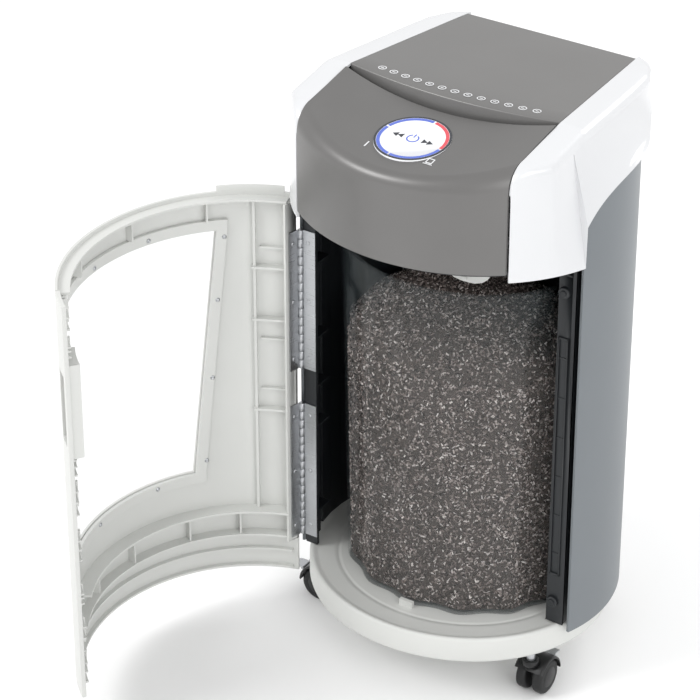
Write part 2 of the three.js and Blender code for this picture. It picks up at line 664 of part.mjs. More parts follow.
// ---------------------------------------------------------------- door, drawn closed
const door = new THREE.Group();
const windowLeft = (z) => -33 + (10 * (WINDOW.top - z)) / (WINDOW.top - WINDOW.bottom);
const WINDOW = { bottom: 182, top: 476, right: 50 };

function windowPatch(margin, inset0, inset1) {
  const side = margin / 3; // degrees: 1 degree of the door's curve is about 3 mm
  return curvedPatch(WINDOW.bottom - margin, WINDOW.top + margin,
    (z) => windowLeft(z) - side, () => WINDOW.right + side, inset0, inset1, 12);
}

function buildDoorShell() {
  const rib = (z, deep, from, to) => arcPlate(from, to, 0.6, deep, z, z + 2.5, 9);
  const skin = arcPlate(DOOR_LEFT, DOOR_SPLIT, DOOR_SKIN, DOOR_SKIN + WALL, DOOR_BOTTOM, DOOR_TOP, 6);
  const raised = arcPlate(-58, -34, 0, 2, DOOR_TOP - 1, DOOR_RAISED, 6);
  const rails = [rib(514, 14, -60, 57), rib(52, 7, -60, 57), rib(74, 7, -60, 57)];
  const lowRibs = [rib(97, 14, -60, 50), rib(129, 18, -60, 46)];
  const gussets = [257, 369, 432].map((z) => rib(z, 10, -61, -46));
  const flange = join(
    block(-153.5, -150, -82, -74.4, 94, 514),
    block(-153.5, -139, -77.4, -74.4, 94, 514),
  );
  const solid = join(skin, raised, ...rails, ...lowRibs, ...gussets, flange);
  return cut(solid, windowPatch(0, -5, 12));
}
add("door_shell", buildDoorShell(), "white", door);
add("door_window_frame", cut(windowPatch(14, 2.3, 6.5), windowPatch(-4, 0, 10)), "white", door);
add("door_window_pane", windowPatch(-0.8, -0.6, 1.4), "clear", door);

const GRIP = [356, 437];
function buildEdgeStrip() {
  const strip = arcPlate(DOOR_SPLIT + 0.15, DOOR_RIGHT, DOOR_SKIN, 4, DOOR_BOTTOM, DOOR_TOP, 3);
  return cut(strip, arcPlate(59.5, 67, -6, 9, ...GRIP, 3));
}
add("door_edge_strip", buildEdgeStrip(), "white", door);
const LATCH_PLATE = [342, 451];
function buildLatchPlate() {
  return join(
    arcPlate(55, 67, 13, 16, ...LATCH_PLATE, 4),
    arcPlate(55, 55.8, DOOR_SKIN + WALL + GAP, 14, ...LATCH_PLATE, 1),
    arcPlate(67.4, 68.2, 4.3, 16, ...LATCH_PLATE, 1),
    arcPlate(66.5, 68, 13, 16, ...LATCH_PLATE, 1),
  );
}
add("door_latch_plate", buildLatchPlate(), "white", door);

// ---------------------------------------------------------------- hinges
const KNUCKLE_RADIUS = 3.2;
const PIN_RADIUS = 1.6;
const KNUCKLES = 8;

// One leaf of a piano hinge: a plate beside the pin, and every second knuckle.
function hingeLeaf([z0, z1], parity, plateY, plateEnd) {
  const length = (z1 - z0) / KNUCKLES;
  const plate = block(HINGE.x + 3.6, plateEnd, plateY, plateY + 1.2, z0, z1);
  const knuckles = [];
  for (let i = parity; i < KNUCKLES; i += 2) {
    const [low, high] = [z0 + i * length + 0.2, z0 + (i + 1) * length - 0.2];
    knuckles.push(rod("z", [HINGE.x, HINGE.y, low], high - low, KNUCKLE_RADIUS, 8));
    knuckles.push(block(HINGE.x + 2, HINGE.x + 4, plateY, plateY + 1.2, low, high));
  }
  const bore = rod("z", [HINGE.x, HINGE.y, z0 - 1], z1 - z0 + 2, PIN_RADIUS + GAP, 8);
  return cut(join(plate, ...knuckles), bore);
}
for (const [place, span] of Object.entries(LEAF)) {
  add(`body_hinge_leaf_${place}`, hingeLeaf(span, 0, HINGE.y + 0.2, -140), "steel");
  add(`door_hinge_leaf_${place}`, hingeLeaf(span, 1, HINGE.y - 1.9, -143), "steel", door);
  add(`hinge_pin_${place}`, rod("z", [HINGE.x, HINGE.y, span[0]], span[1] - span[0], PIN_RADIUS, 8), "steel");
}

// Turn the door open about its pin.
const doorFrame = new THREE.Group();
doorFrame.position.set(HINGE.x, HINGE.y, 0);
doorFrame.rotation.z = -DOOR_OPEN * DEG;
door.position.set(-HINGE.x, -HINGE.y, 0);
doorFrame.add(door);
shredder.add(doorFrame);

// ---------------------------------------------------------------- bin and shreds
// A fluted cup: each profile row is [size share, inset, height, flute depth].
const FLUTE_DEPTH = 5;
function flutedSolid(rows, steps = 56) {
  const surface = (u, v, target) => {
    const angle = 360 * (Math.round(u * steps) % steps) / steps;
    const [share, inset, z, depth] = rows[Math.round(v * (rows.length - 1))];
    const flare = (BIN_FLARE * (z - BIN_BOTTOM)) / (BIN_TOP - BIN_BOTTOM);
    const flute = depth * 0.5 * (1 - Math.cos(FLUTES * angle * DEG));
    const point = ovalPoint(BIN, angle, inset + flute - flare).multiplyScalar(share);
    target.set(point.x, BIN_Y + point.y, z);
  };
  return new ParametricGeometry(surface, steps, rows.length - 1);
}
const RIM_START = 452;
const notch = () => block(-9.5, 9.5, -130, BIN_Y - BIN.y + 3, BIN_BOTTOM - 1, TRAY_FLOOR + 13);

function buildBin() {
  const cup = flutedSolid([
    [0, 0, BIN_BOTTOM, 0],
    [1, 0, BIN_BOTTOM, FLUTE_DEPTH],
    [1, 0, RIM_START - 14, FLUTE_DEPTH],
    [1, 0, RIM_START, 0],
    [1, 0, BIN_TOP, 0],
    [1, BIN_WALL, BIN_TOP, 0],
    [1, BIN_WALL, RIM_START, 0],
    [1, BIN_WALL, RIM_START - 14, FLUTE_DEPTH],
    [1, BIN_WALL, BIN_BOTTOM + BIN_WALL, FLUTE_DEPTH],
    [0, 0, BIN_BOTTOM + BIN_WALL, 0],
  ]);
  const handHole = block(-160, 160, BIN_Y - 34, BIN_Y + 34, 454, 468);
  return cut(cup, notch(), handHole);
}
add("shred_bin", buildBin(), "clear");

function buildHeap() {
  const inset = BIN_WALL + 0.6;
  const low = BIN_BOTTOM + BIN_WALL + 0.5;
  return flutedSolid([
    [0, 0, low, 0],
    [1, inset, low, FLUTE_DEPTH],
    [1, inset, 372, FLUTE_DEPTH],
    [0.85, inset, 393, FLUTE_DEPTH / 2],
    [0.5, inset, 415, 0],
    [0, 0, 424, 0],
  ]);
}
add("shred_heap", buildHeap(), "paper");

// ---------------------------------------------------------------- casters
// Built about the stem, trailing towards +Y.
function hoodArc(inner, outer, x0, x1) {
  const arc = (radius) => spread(35, 178, 7).map((a) => [
    TRAIL - radius * Math.cos((180 - a) * DEG) * -1,
    WHEEL_RADIUS + radius * Math.sin(a * DEG),
  ]);
  return sidewaysPrism([...arc(outer), ...arc(inner).reverse()], x0, x1);
}

const BRAKE_PIVOT = { y: TRAIL + 24.4, z: WHEEL_RADIUS + 9.9 };

function buildHood(braked) {
  const shell = hoodArc(21.2, 23.8, -17, 17);
  const web = cut(
    hoodArc(0.1, 22.5, -3, 3),
    rod("x", [-4, TRAIL, WHEEL_RADIUS], 8, 3.3, 12),
  );
  const boss = cut(rod("x", [-3, TRAIL, WHEEL_RADIUS], 6, 7, 16), rod("x", [-4, TRAIL, WHEEL_RADIUS], 8, 3.3, 12));
  const stem = rod("z", [0, 0, 39], 34, 5, 14);
  const collar = rod("z", [0, 0, 40.2], 7, 9, 16);
  const { y, z } = BRAKE_PIVOT;
  const lugs = braked ? [-11.5, 9.3].map((x) => block(x, x + 2.2, y - 4, y + 2.5, z - 2.5, z + 2.5)) : [];
  return join(shell, web, boss, stem, collar, ...lugs);
}

function buildWheels() {
  const tyre = (x) => {
    const profile = [[0, 0], [17.5, 0], [WHEEL_RADIUS, 2], [WHEEL_RADIUS, 10.4], [17.5, 12.4], [0, 12.4]];
    const points = profile.map(([radius, along]) => new THREE.Vector2(radius, along));
    return new THREE.LatheGeometry(points, 18).rotateZ(-Math.PI / 2).translate(x, 0, 0);
  };
  const axle = rod("x", [-6, 0, 0], 12, 3, 12);
  return join(tyre(3.6), tyre(-16), axle).translate(0, TRAIL, WHEEL_RADIUS);
}

function buildBrake() {
  const barrel = rod("x", [-9, BRAKE_PIVOT.y, BRAKE_PIVOT.z], 18, 2, 12);
  const pedal = block(-7, 7, BRAKE_PIVOT.y, BRAKE_PIVOT.y + 13, BRAKE_PIVOT.z - 1, BRAKE_PIVOT.z + 1);
  return cut(join(barrel, pedal), rod("z", [0, BRAKE_PIVOT.y + 8, BRAKE_PIVOT.z - 3], 6, 3, 12));
}

for (const [place, [x, y, turn]] of Object.entries(CASTERS)) {
  const caster = new THREE.Group();
  caster.position.set(x, y, 0);
  caster.rotation.z = turn * DEG;
  const braked = place.startsWith("front");
  add(`${place}_caster_hood`, buildHood(braked), "black", caster);
  add(`${place}_caster_wheels`, buildWheels(), "tyre", caster);
  if (braked) add(`${place}_caster_brake`, buildBrake(), "steel", caster);
  shredder.add(caster);
}

// ---------------------------------------------------------------- origin
shredder.updateMatrixWorld(true);
const bounds = new THREE.Box3().setFromObject(shredder, true);
const middle = bounds.getCenter(new THREE.Vector3());
shredder.position.set(-middle.x, -middle.y, -bounds.min.z);
shredder.updateMatrixWorld(true);
export default shredder;
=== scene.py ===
import math
import random

import bmesh
import bpy
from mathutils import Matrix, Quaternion, Vector


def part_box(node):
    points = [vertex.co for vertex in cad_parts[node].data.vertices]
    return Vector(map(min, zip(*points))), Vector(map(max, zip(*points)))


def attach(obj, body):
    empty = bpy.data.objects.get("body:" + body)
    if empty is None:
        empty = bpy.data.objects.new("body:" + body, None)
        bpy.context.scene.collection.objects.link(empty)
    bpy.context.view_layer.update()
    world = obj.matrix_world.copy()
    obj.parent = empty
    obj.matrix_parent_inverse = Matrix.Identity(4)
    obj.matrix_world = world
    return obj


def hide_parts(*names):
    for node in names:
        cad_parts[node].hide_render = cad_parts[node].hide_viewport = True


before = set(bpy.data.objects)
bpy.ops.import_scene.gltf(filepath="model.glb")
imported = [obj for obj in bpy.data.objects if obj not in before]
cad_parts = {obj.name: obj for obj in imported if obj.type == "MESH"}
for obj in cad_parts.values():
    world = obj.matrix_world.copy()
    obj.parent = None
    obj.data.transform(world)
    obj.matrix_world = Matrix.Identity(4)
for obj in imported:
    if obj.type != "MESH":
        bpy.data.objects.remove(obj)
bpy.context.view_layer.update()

# Shapes are written in millimetres round the drum's centre line, with the floor at z = 0.
TRAY_LOW, TRAY_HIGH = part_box("base_tray")
CENTRE = (TRAY_LOW + TRAY_HIGH) / 2
DRUM = (178, 165)
HEAD = (186, 173)
HEAD_BACK = 171
HEAD_TURN = 115
HEAD_CORNER = Vector((119.5, 171))
HEAD_ROUND = 15
TRAY = (168, 155)
SLOT_HALF = 122
SLOT_Y = -31
SLOT_BOW = 14
SLOT_GAP = 8
SLOT_TOP = 664
SLOT_STEP = 11
SLOT_DEPTH = 24
REAR_HALF = 100
REAR_TOP = 648
PANEL_SLOPE = 0.12
PANEL_TOP = 626
PANEL_DISH = 11.5
NOSE = 13
NOSE_GROWTH = 12
WALL = 3
GAP = 0.3
PANEL_BOTTOM = 82
PANEL_EDGES = {"right": 70.5, "left": 67.5}
PANEL_BACK = 128
COVER_BOTTOM = 530
COVER_SIDE = 69
COVER_FRONT = 41.9
COVER_BACK = 153.2
HEAD_BOTTOM = 539
HINGE = (-158, -72)
DOOR_OPEN = 104
DOOR_LEFT, DOOR_SPLIT, DOOR_RIGHT = -62, 57.5, 69.3
DOOR_BOTTOM, DOOR_TOP = 48, 521
DOOR_GRIP_LOW, DOOR_GRIP_HIGH = 356, 437
LATCH_LOW, LATCH_HIGH = 342, 451
LEAVES = (("lower", 99, 268), ("upper", 312, 480))
WINDOW_LOW, WINDOW_HIGH, WINDOW_RIGHT = 182, 476, 50
BIN = (132, 115)
BIN_Y = 7
BIN_FLARE = 6
BIN_BOTTOM, BIN_TOP = 85.5, 484
BIN_WALL = 2.6
BIN_FOOT = BIN_BOTTOM + 2
RIM_START, FLUTE_END = 452, 432
HAND_HOLE_LOW, HAND_HOLE_HIGH, HAND_HOLE_HALF = 454, 468, 34
LIP_START = 476
FLUTES = 14
FLUTE_DEPTH = 5
DISC = (0, -108, 39)
POST_LOW, POST_HIGH = 88.5, 528
FLAP = (48, -82, 524)
CASTERS = {
    "front_right": (135, -75, 0),
    "front_left": (-138, -38, 90),
    "rear_right": (98, 88, 0),
    "rear_left": (-98, 88, 0),
}

# ---------------------------------------------------------------- camera
AZIMUTH, ELEVATION, DISTANCE = math.radians(32.87), math.radians(30.88), 3.3535
AIM = CENTRE + Vector((-0.1261, -0.0292, 0))
AIM.z = 0.3293
camera_data = bpy.data.cameras.new("camera")
camera_data.lens = 161.3
camera_data.shift_x = 0.0023
camera_data.shift_y = -0.0079
camera = bpy.data.objects.new("camera", camera_data)
back = Vector((
    math.sin(AZIMUTH) * math.cos(ELEVATION),
    -math.cos(AZIMUTH) * math.cos(ELEVATION),
    math.sin(ELEVATION),
))
camera.location = AIM + back * DISTANCE
camera.rotation_euler = back.to_track_quat("Z", "Y").to_euler()
bpy.context.scene.collection.objects.link(camera)
bpy.context.scene.camera = camera


# ---------------------------------------------------------------- materials
def new_material(name):
    material = bpy.data.materials.new(name)
    material.use_nodes = True
    nodes, links = material.node_tree.nodes, material.node_tree.links
    return material, nodes, links, nodes["Principled BSDF"]


def linear(colour):
    parts = [int(colour[i:i + 2], 16) / 255 for i in (1, 3, 5)]
    return [p / 12.92 if p <= 0.04045 else ((p + 0.055) / 1.055) ** 2.4 for p in parts] + [1]


def noise(nodes, links, vector, scale, detail=2.0):
    texture = nodes.new("ShaderNodeTexNoise")
    texture.inputs["Scale"].default_value = scale
    texture.inputs["Detail"].default_value = detail
    links.new(vector, texture.inputs["Vector"])
    return texture.outputs["Fac"]


def set_gloss(nodes, links, shader, source, low, high):
    gloss = nodes.new("ShaderNodeMapRange")
    gloss.inputs["To Min"].default_value = low
    gloss.inputs["To Max"].default_value = high
    links.new(source, gloss.inputs["Value"])
    links.new(gloss.outputs["Result"], shader.inputs["Roughness"])


def set_relief(nodes, links, shader, source, strength, distance):
    relief = nodes.new("ShaderNodeBump")
    relief.inputs["Strength"].default_value = strength
    relief.inputs["Distance"].default_value = distance
    links.new(source, relief.inputs["Height"])
    links.new(relief.outputs["Normal"], shader.inputs["Normal"])


def moulded(name, colour, rough, grain=2200, bump=0.06, metallic=0.0, coat=0.0, vary=0.05):
    """Moulded or painted surface: fine grain in the bump, soft clouding in colour and gloss."""
    material, nodes, links, shader = new_material(name)
    shader.inputs["Metallic"].default_value = metallic
    shader.inputs["Coat Weight"].default_value = coat
    shader.inputs["Coat Roughness"].default_value = 0.12
    place = nodes.new("ShaderNodeTexCoord").outputs["Object"]
    cloud = noise(nodes, links, place, 14, 4)
    fine = noise(nodes, links, place, grain, 2)
    tint = nodes.new("ShaderNodeValToRGB")
    base = linear(colour)
    for element, gain in zip(tint.color_ramp.elements, (1 - vary, 1 + vary)):
        element.color = [min(1, c * gain) for c in base[:3]] + [1]
    tint.color_ramp.elements[0].position = 0.3
    tint.color_ramp.elements[1].position = 0.7
    half = nodes.new("ShaderNodeMath")
    half.operation = "MULTIPLY"
    half.inputs[1].default_value = 0.65
    links.new(cloud, half.inputs[0])
    mix = nodes.new("ShaderNodeMath")
    mix.operation = "MULTIPLY_ADD"
    mix.inputs[1].default_value = 0.35
    links.new(fine, mix.inputs[0])
    links.new(half.outputs[0], mix.inputs[2])
    links.new(mix.outputs[0], tint.inputs["Fac"])
    links.new(tint.outputs["Color"], shader.inputs["Base Color"])
    set_gloss(nodes, links, shader, cloud, rough * 0.88, min(1, rough * 1.12))
    set_relief(nodes, links, shader, fine, bump, 0.0004)
    return material


def brushed(name, colour, rough, along=(1, 1, 40)):
    """Metal with fine brush lines across the given direction."""
    material, nodes, links, shader = new_material(name)
    shader.inputs["Metallic"].default_value = 1
    stretch = nodes.new("ShaderNodeMapping")
    stretch.inputs["Scale"].default_value = along
    links.new(nodes.new("ShaderNodeTexCoord").outputs["Object"], stretch.inputs["Vector"])
    lines = noise(nodes, links, stretch.outputs["Vector"], 60, 5)
    tint = nodes.new("ShaderNodeValToRGB")
    base = linear(colour)
    tint.color_ramp.elements[0].color = [c * 0.8 for c in base[:3]] + [1]
    tint.color_ramp.elements[1].color = base
    links.new(lines, tint.inputs["Fac"])
    links.new(tint.outputs["Color"], shader.inputs["Base Color"])
    set_gloss(nodes, links, shader, lines, rough * 0.7, rough * 1.3)
    set_relief(nodes, links, shader, lines, 0.12, 0.0003)
    return material


def clear(name, colour, alpha):
    """Thin clear plastic with faint moulding streaks."""
    material, nodes, links, shader = new_material(name)
    shader.inputs["Alpha"].default_value = alpha
    shader.inputs["Base Color"].default_value = linear(colour)
    shader.inputs["IOR"].default_value = 1.49
    shader.inputs["Coat Weight"].default_value = 0.6
    shader.inputs["Coat Roughness"].default_value = 0.03
    streak = noise(nodes, links, nodes.new("ShaderNodeTexCoord").outputs["Object"], 25)
    set_gloss(nodes, links, shader, streak, 0.03, 0.12)
    set_relief(nodes, links, shader, streak, 0.04, 0.001)
    return material


def shredded(name):
    """Cross-cut paper: each shred takes its tone from its own colour attribute."""
    material, nodes, links, shader = new_material(name)
    shader.inputs["Roughness"].default_value = 0.9
    tone = nodes.new("ShaderNodeVertexColor")
    tone.layer_name = "tone"
    print_marks = noise(nodes, links, nodes.new("ShaderNodeTexCoord").outputs["Object"], 700, 3)
    ramp = nodes.new("ShaderNodeValToRGB")
    ramp.color_ramp.elements[0].position = 0.42
    ramp.color_ramp.elements[0].color = (0.45, 0.43, 0.42, 1)
    ramp.color_ramp.elements[1].position = 0.58
    ramp.color_ramp.elements[1].color = (1, 1, 1, 1)
    links.new(print_marks, ramp.inputs["Fac"])
    mix = nodes.new("ShaderNodeMix")
    mix.data_type = "RGBA"
    mix.blend_type = "MULTIPLY"
    mix.inputs["Factor"].default_value = 0.6
    links.new(tone.outputs["Color"], mix.inputs["A"])
    links.new(ramp.outputs["Color"], mix.inputs["B"])
    links.new(mix.outputs["Result"], shader.inputs["Base Color"])
    set_relief(nodes, links, shader, print_marks, 0.5, 0.001)
    return material


GLOSS_WHITE = moulded("gloss_white", "#D6D7D9", 0.22, grain=900, bump=0.015, coat=0.5, vary=0.012)
WHITE = moulded("white_plastic", "#CFD0CD", 0.42, grain=2600, bump=0.08, vary=0.02)
GREY = moulded("head_grey", "#6F6E6D", 0.36, grain=3000, bump=0.05, metallic=0.35, vary=0.05)
# A lighter copy of the head grey for the upward-facing rear top: painted light, where more of the lamps'
# light falls on the top.
GREY_LIT_TOP = moulded("head_grey_painted_lit_top", "#767574", 0.36, grain=3000, bump=0.05, metallic=0.35, vary=0.05)
SLATE = moulded("slate_paint", "#74797D", 0.42, grain=1800, bump=0.08, metallic=0.25, vary=0.04)
BLACK = moulded("black_plastic", "#1B1E21", 0.5, grain=1500, bump=0.15, vary=0.2)
DEEP_BLACK = moulded("caster_black", "#0E0F10", 0.35, grain=1500, bump=0.1, vary=0.2)
TYRE = moulded("tyre_black", "#0C0D0E", 0.55, grain=1200, bump=0.25, vary=0.2)
STEEL = brushed("steel", "#C3C5C8", 0.3)
BLADE = brushed("blade_steel", "#9A9EA3", 0.3, along=(40, 1, 1))
NYLON = moulded("nylon", "#E2DDCB", 0.5, vary=0.04)
BOARD = moulded("board", "#1D5A39", 0.4, grain=500, vary=0.25)
DISC_WHITE = moulded("disc_white", "#F4F5F8", 0.2, grain=900, bump=0.01, coat=0.6, vary=0.01)
INK_BLUE = moulded("ink_blue", "#5A6FC8", 0.3, bump=0.01, vary=0.04)
INK_RED = moulded("ink_red", "#D8505A", 0.3, bump=0.01, vary=0.04)
INK_DARK = moulded("ink_dark", "#33363C", 0.35, bump=0.01, vary=0.06)
PRINT_WHITE = moulded("print_white", "#E9EAEC", 0.45, bump=0.02, vary=0.03)
CLEAR_BIN = clear("clear_bin", "#50585A", 0.12)
CLEAR_PANE = clear("clear_pane", "#F2F5F5", 0.10)
PAPER = shredded("shredded_paper")


# ---------------------------------------------------------------- building helpers
def at(point):
    x, y, z = point
    return (CENTRE.x + x / 1000, CENTRE.y + y / 1000, z / 1000)


def opened(point):
    """Turns a point of the closed door to where the open door has it."""
    turn = math.radians(-DOOR_OPEN)
    x, y = point[0] - HINGE[0], point[1] - HINGE[1]
    return (
        HINGE[0] + x * math.cos(turn) - y * math.sin(turn),
        HINGE[1] + x * math.sin(turn) + y * math.cos(turn),
        point[2],
    )


def oval(half, angle, inset=0.0):
    """Point on an oval at an angle in degrees from the front towards the right."""
    a = math.radians(angle)
    return ((half[0] - inset) * math.sin(a), -(half[1] - inset) * math.cos(a))


def span(low, high, count):
    return [low + (high - low) * i / count for i in range(count + 1)]


def piece(name, points, faces, material, body, slot, replaces=(), place=None, bevel=0.0,
          sharp=40, segments=2, materials=(), face_slots=None):
    mesh = bpy.data.meshes.new(name)
    placed = [place(p) for p in points] if place else points
    mesh.from_pydata([at(p) for p in placed], [], faces)
    for entry in (material, *materials):
        mesh.materials.append(entry)
    if face_slots:
        mesh.polygons.foreach_set("material_index", face_slots)
    work = bmesh.new()
    work.from_mesh(mesh)
    bmesh.ops.remove_doubles(work, verts=work.verts, dist=1e-6)
    bmesh.ops.dissolve_degenerate(work, dist=1e-7, edges=work.edges)
    bmesh.ops.recalc_face_normals(work, faces=work.faces)
    if bevel:
        edges = [e for e in work.edges if e.is_manifold and e.calc_face_angle(0) > math.radians(sharp)]
        bmesh.ops.bevel(work, geom=edges, offset=bevel / 1000, segments=segments, profile=0.6,
                        affect="EDGES", clamp_overlap=True)
        bmesh.ops.recalc_face_normals(work, faces=work.faces)
    for face in work.faces:
        face.smooth = True
    for edge in work.edges:
        if edge.is_manifold and edge.calc_face_angle(0) > math.radians(50):
            edge.smooth = False
    work.to_mesh(mesh)
    work.free()
    obj = bpy.data.objects.new(name, mesh)
    bpy.context.scene.collection.objects.link(obj)
    if bevel:
        normals = obj.modifiers.new("normals", "WEIGHTED_NORMAL")
        normals.keep_sharp = True
    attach(obj, body)
    if replaces:
        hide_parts(*replaces)
    return obj


class Solid:
    """Collects vertices and faces of several closed shapes into one mesh."""

    def __init__(self):
        self.points, self.faces, self.slots = [], [], []

    def add(self, points, faces, slot=0):
        start = len(self.points)
        self.points.extend(points)
        self.faces.extend([[start + i for i in face] for face in faces])
        self.slots.extend([slot] * len(faces))
        return self

    def block(self, x0, x1, y0, y1, z0, z1, slot=0):
        points = [(x, y, z) for z in (z0, z1) for y in (y0, y1) for x in (x0, x1)]
        faces = [[0, 2, 3, 1], [4, 5, 7, 6], [0, 1, 5, 4], [2, 6, 7, 3], [0, 4, 6, 2], [1, 3, 7, 5]]
        return self.add(points, faces, slot)

    def shell(self, outer, inner, keep=lambda i, j: True, closed=False, slot=0):
        """A wall between two grids of points; cells that keep() refuses become openings."""
        rows, columns = len(outer), len(outer[0])
        cells = columns if closed else columns - 1
        points = [p for grid in (outer, inner) for row in grid for p in row]
        size = rows * columns
        index = lambda side, i, j: side * size + i * columns + j % columns
        kept = lambda i, j: 0 <= i < rows - 1 and (closed or 0 <= j < cells) and keep(i, j % cells)
        faces = []
        for i in range(rows - 1):
            for j in range(cells):
                if not kept(i, j):
                    continue
                quad = [(i, j), (i, j + 1), (i + 1, j + 1), (i + 1, j)]
                faces.append([index(0, *q) for q in quad])
                faces.append([index(1, *q) for q in reversed(quad)])
                sides = [((i, j), (i, j + 1), (i - 1, j)), ((i, j + 1), (i + 1, j + 1), (i, j + 1)),
                         ((i + 1, j + 1), (i + 1, j), (i + 1, j)), ((i + 1, j), (i, j), (i, j - 1))]
                for a, b, neighbour in sides:
                    if not kept(*neighbour):
                        faces.append([index(0, *b), index(0, *a), index(1, *a), index(1, *b)])
        return self.add(points, faces, slot)

    def arc(self, angle0, angle1, inset0, inset1, z0, z1, step=2.0, half=DRUM, slot=0):
        """An upright curved plate of the drum."""
        angles = span(angle0, angle1, max(1, round(abs(angle1 - angle0) / step)))
        outer = [[(*oval(half, a, inset0), z) for a in angles] for z in (z0, z1)]
        inner = [[(*oval(half, a, inset1), z) for a in angles] for z in (z0, z1)]
        return self.shell(outer, inner, slot=slot)

    def rod(self, axis, centre, low, high, profile, sides=24, slot=0):
        """A turned shape along X, Y or Z through a centre: profile is (along 0 to 1, radius) pairs."""
        rows = []
        for share, radius in profile:
            along = low + (high - low) * share
            ring = []
            for k in range(sides):
                a = 2 * math.pi * k / sides
                u, v = radius * math.cos(a), radius * math.sin(a)
                ring.append({"x": (along, centre[0] + u, centre[1] + v),
                             "y": (centre[0] + u, along, centre[1] + v),
                             "z": (centre[0] + u, centre[1] + v, along)}[axis])
            rows.append(ring)
        return self.stack(rows, slot)

    def oval_ring(self, half, profile, count):
        """Turns a profile of (inset, z) pairs round an oval."""
        return self.stack([[(*oval(half, 360 * k / count, inset), z) for k in range(count)]
                           for inset, z in profile])

    def stack(self, rows, slot=0):
        """A closed shape through rings of equal length, capped at both ends."""
        count = len(rows[0])
        points = [p for row in rows for p in row]
        faces = []
        for i in range(len(rows) - 1):
            for k in range(count):
                n = (k + 1) % count
                faces.append([i * count + k, i * count + n, (i + 1) * count + n, (i + 1) * count + k])
        faces.append(list(range(count)))
        faces.append([(len(rows) - 1) * count + k for k in range(count)])
        return self.add(points, faces, slot)

    def capped(self, points, slot=0):
        """A closed shape between two outlines of equal length, listed one after the other."""
        count = len(points) // 2
        faces = [list(range(count)), list(range(count, 2 * count))]
        faces += [[i, (i + 1) % count, count + (i + 1) % count, count + i] for i in range(count)]
        return self.add(points, faces, slot)

    def make(self, name, material, body, slot, **options):
        options.setdefault("face_slots", self.slots)
        return piece(name, self.points, self.faces, material, body, slot, **options)


def rod_profile(radius, ends=0.5, length=10.0):
    share = ends / length
    return [(0, radius - ends), (share, radius), (1 - share, radius), (1, radius - ends)]


# ---------------------------------------------------------------- head outline
def head_point(angle, inset=0.0):
    side = abs(angle)
    half = HEAD if side <= 90 else (HEAD[0], HEAD_BACK)
    if side <= HEAD_TURN:
        return oval(half, angle, inset)
    start = Vector(oval(half, HEAD_TURN, inset))
    corner = HEAD_CORNER - Vector((inset, inset))
    before = corner.lerp(start, HEAD_ROUND / (corner - start).length)
    after = corner - Vector((HEAD_ROUND, 0.4))
    share = (side - HEAD_TURN) / (COVER_BACK - HEAD_TURN)
    turn = min(1, max(0, (share - 0.7) / 0.3))
    if share < 0.7:
        point = start.lerp(before, share / 0.7)
    else:
        point = before.lerp(corner, turn).lerp(corner.lerp(after, turn), turn)
    return (math.copysign(point.x, angle), point.y)


def head_front(x):
    return -HEAD[1] * math.sqrt(1 - (x / HEAD[0]) ** 2)


def head_back(x):
    return HEAD_BACK - 0.4 * (x / REAR_HALF) ** 2


def slot_rear(x):
    return SLOT_Y - SLOT_BOW * (1 - (x / SLOT_HALF) ** 2)


def slot_front(x):
    return slot_rear(x) - SLOT_GAP


def nose_radius(x):
    return NOSE + NOSE_GROWTH * (x / SLOT_HALF) ** 2


def panel_height(x, y):
    dish = PANEL_DISH * (x / SLOT_HALF) ** 2
    return SLOT_TOP - SLOT_STEP + PANEL_SLOPE * (y - SLOT_Y + SLOT_GAP) + dish


def top_height(y):
    return SLOT_TOP - (SLOT_TOP - REAR_TOP) * (y - SLOT_Y) / (HEAD_BACK - SLOT_Y)


def top_half(y):
    return SLOT_HALF - (SLOT_HALF - REAR_HALF) * max(0, y - SLOT_Y) / (HEAD_BACK - SLOT_Y)


def front_section(x, inset):
    front = head_front(x) + inset
    radius = nose_radius(x) - inset
    centre_y, centre_z = front + radius, panel_height(x, head_front(x)) - nose_radius(x)
    line = [(front, HEAD_BOTTOM)]
    for turn in span(180, 90, 14):
        a = math.radians(turn)
        line.append((centre_y + radius * math.cos(a), centre_z + radius * math.sin(a)))
    rear = slot_front(x) - inset
    line.append((rear - 1.2, panel_height(x, slot_front(x)) - inset))
    line.append((rear, panel_height(x, slot_front(x)) - inset - 1.2))
    line.append((rear, panel_height(0, slot_front(x)) - SLOT_DEPTH))
    return [(x, y, z) for y, z in line]


xs = span(-SLOT_HALF + GAP, SLOT_HALF - GAP, 72)
front = Solid().shell([front_section(x, 0) for x in xs], [front_section(x, WALL) for x in xs])
front.make("front_cover_skin", GREY, "cabinet", "head_grey", replaces=["front_cover"])


def rear_section(share, inset):
    x = share * SLOT_HALF
    slot = slot_rear(x) + inset
    rear = head_back(share * REAR_HALF) - inset
    radius = 8 - inset
    top = top_height(rear) - inset
    line = [(slot, SLOT_TOP - SLOT_STEP - SLOT_DEPTH), (slot, SLOT_TOP - inset - 1.5),
            (slot + 0.5, SLOT_TOP - inset - 0.4), (slot + 1.6, SLOT_TOP - inset)]
    for y in span(slot + 1.6, rear - radius, 8)[1:-1]:
        line.append((y, top_height(y) - inset))
    for turn in span(90, 0, 8):
        a = math.radians(turn)
        line.append((rear - radius + radius * math.cos(a), top - radius + radius * math.sin(a)))
    line.append((rear, PANEL_TOP - 6))
    return [(share * (top_half(y) - GAP), y, z) for y, z in line]


shares = span(-1, 1, 60)
rear_top = Solid().shell([rear_section(s, 0) for s in shares], [rear_section(s, WALL) for s in shares])
rear_top.make("rear_top_skin", GREY_LIT_TOP, "cabinet", "head_grey", replaces=["rear_top_cover"])


def cover_low(angle):
    if angle < COVER_SIDE:
        return COVER_BOTTOM
    return 618 - 43 * math.exp((COVER_SIDE - angle) / 9)


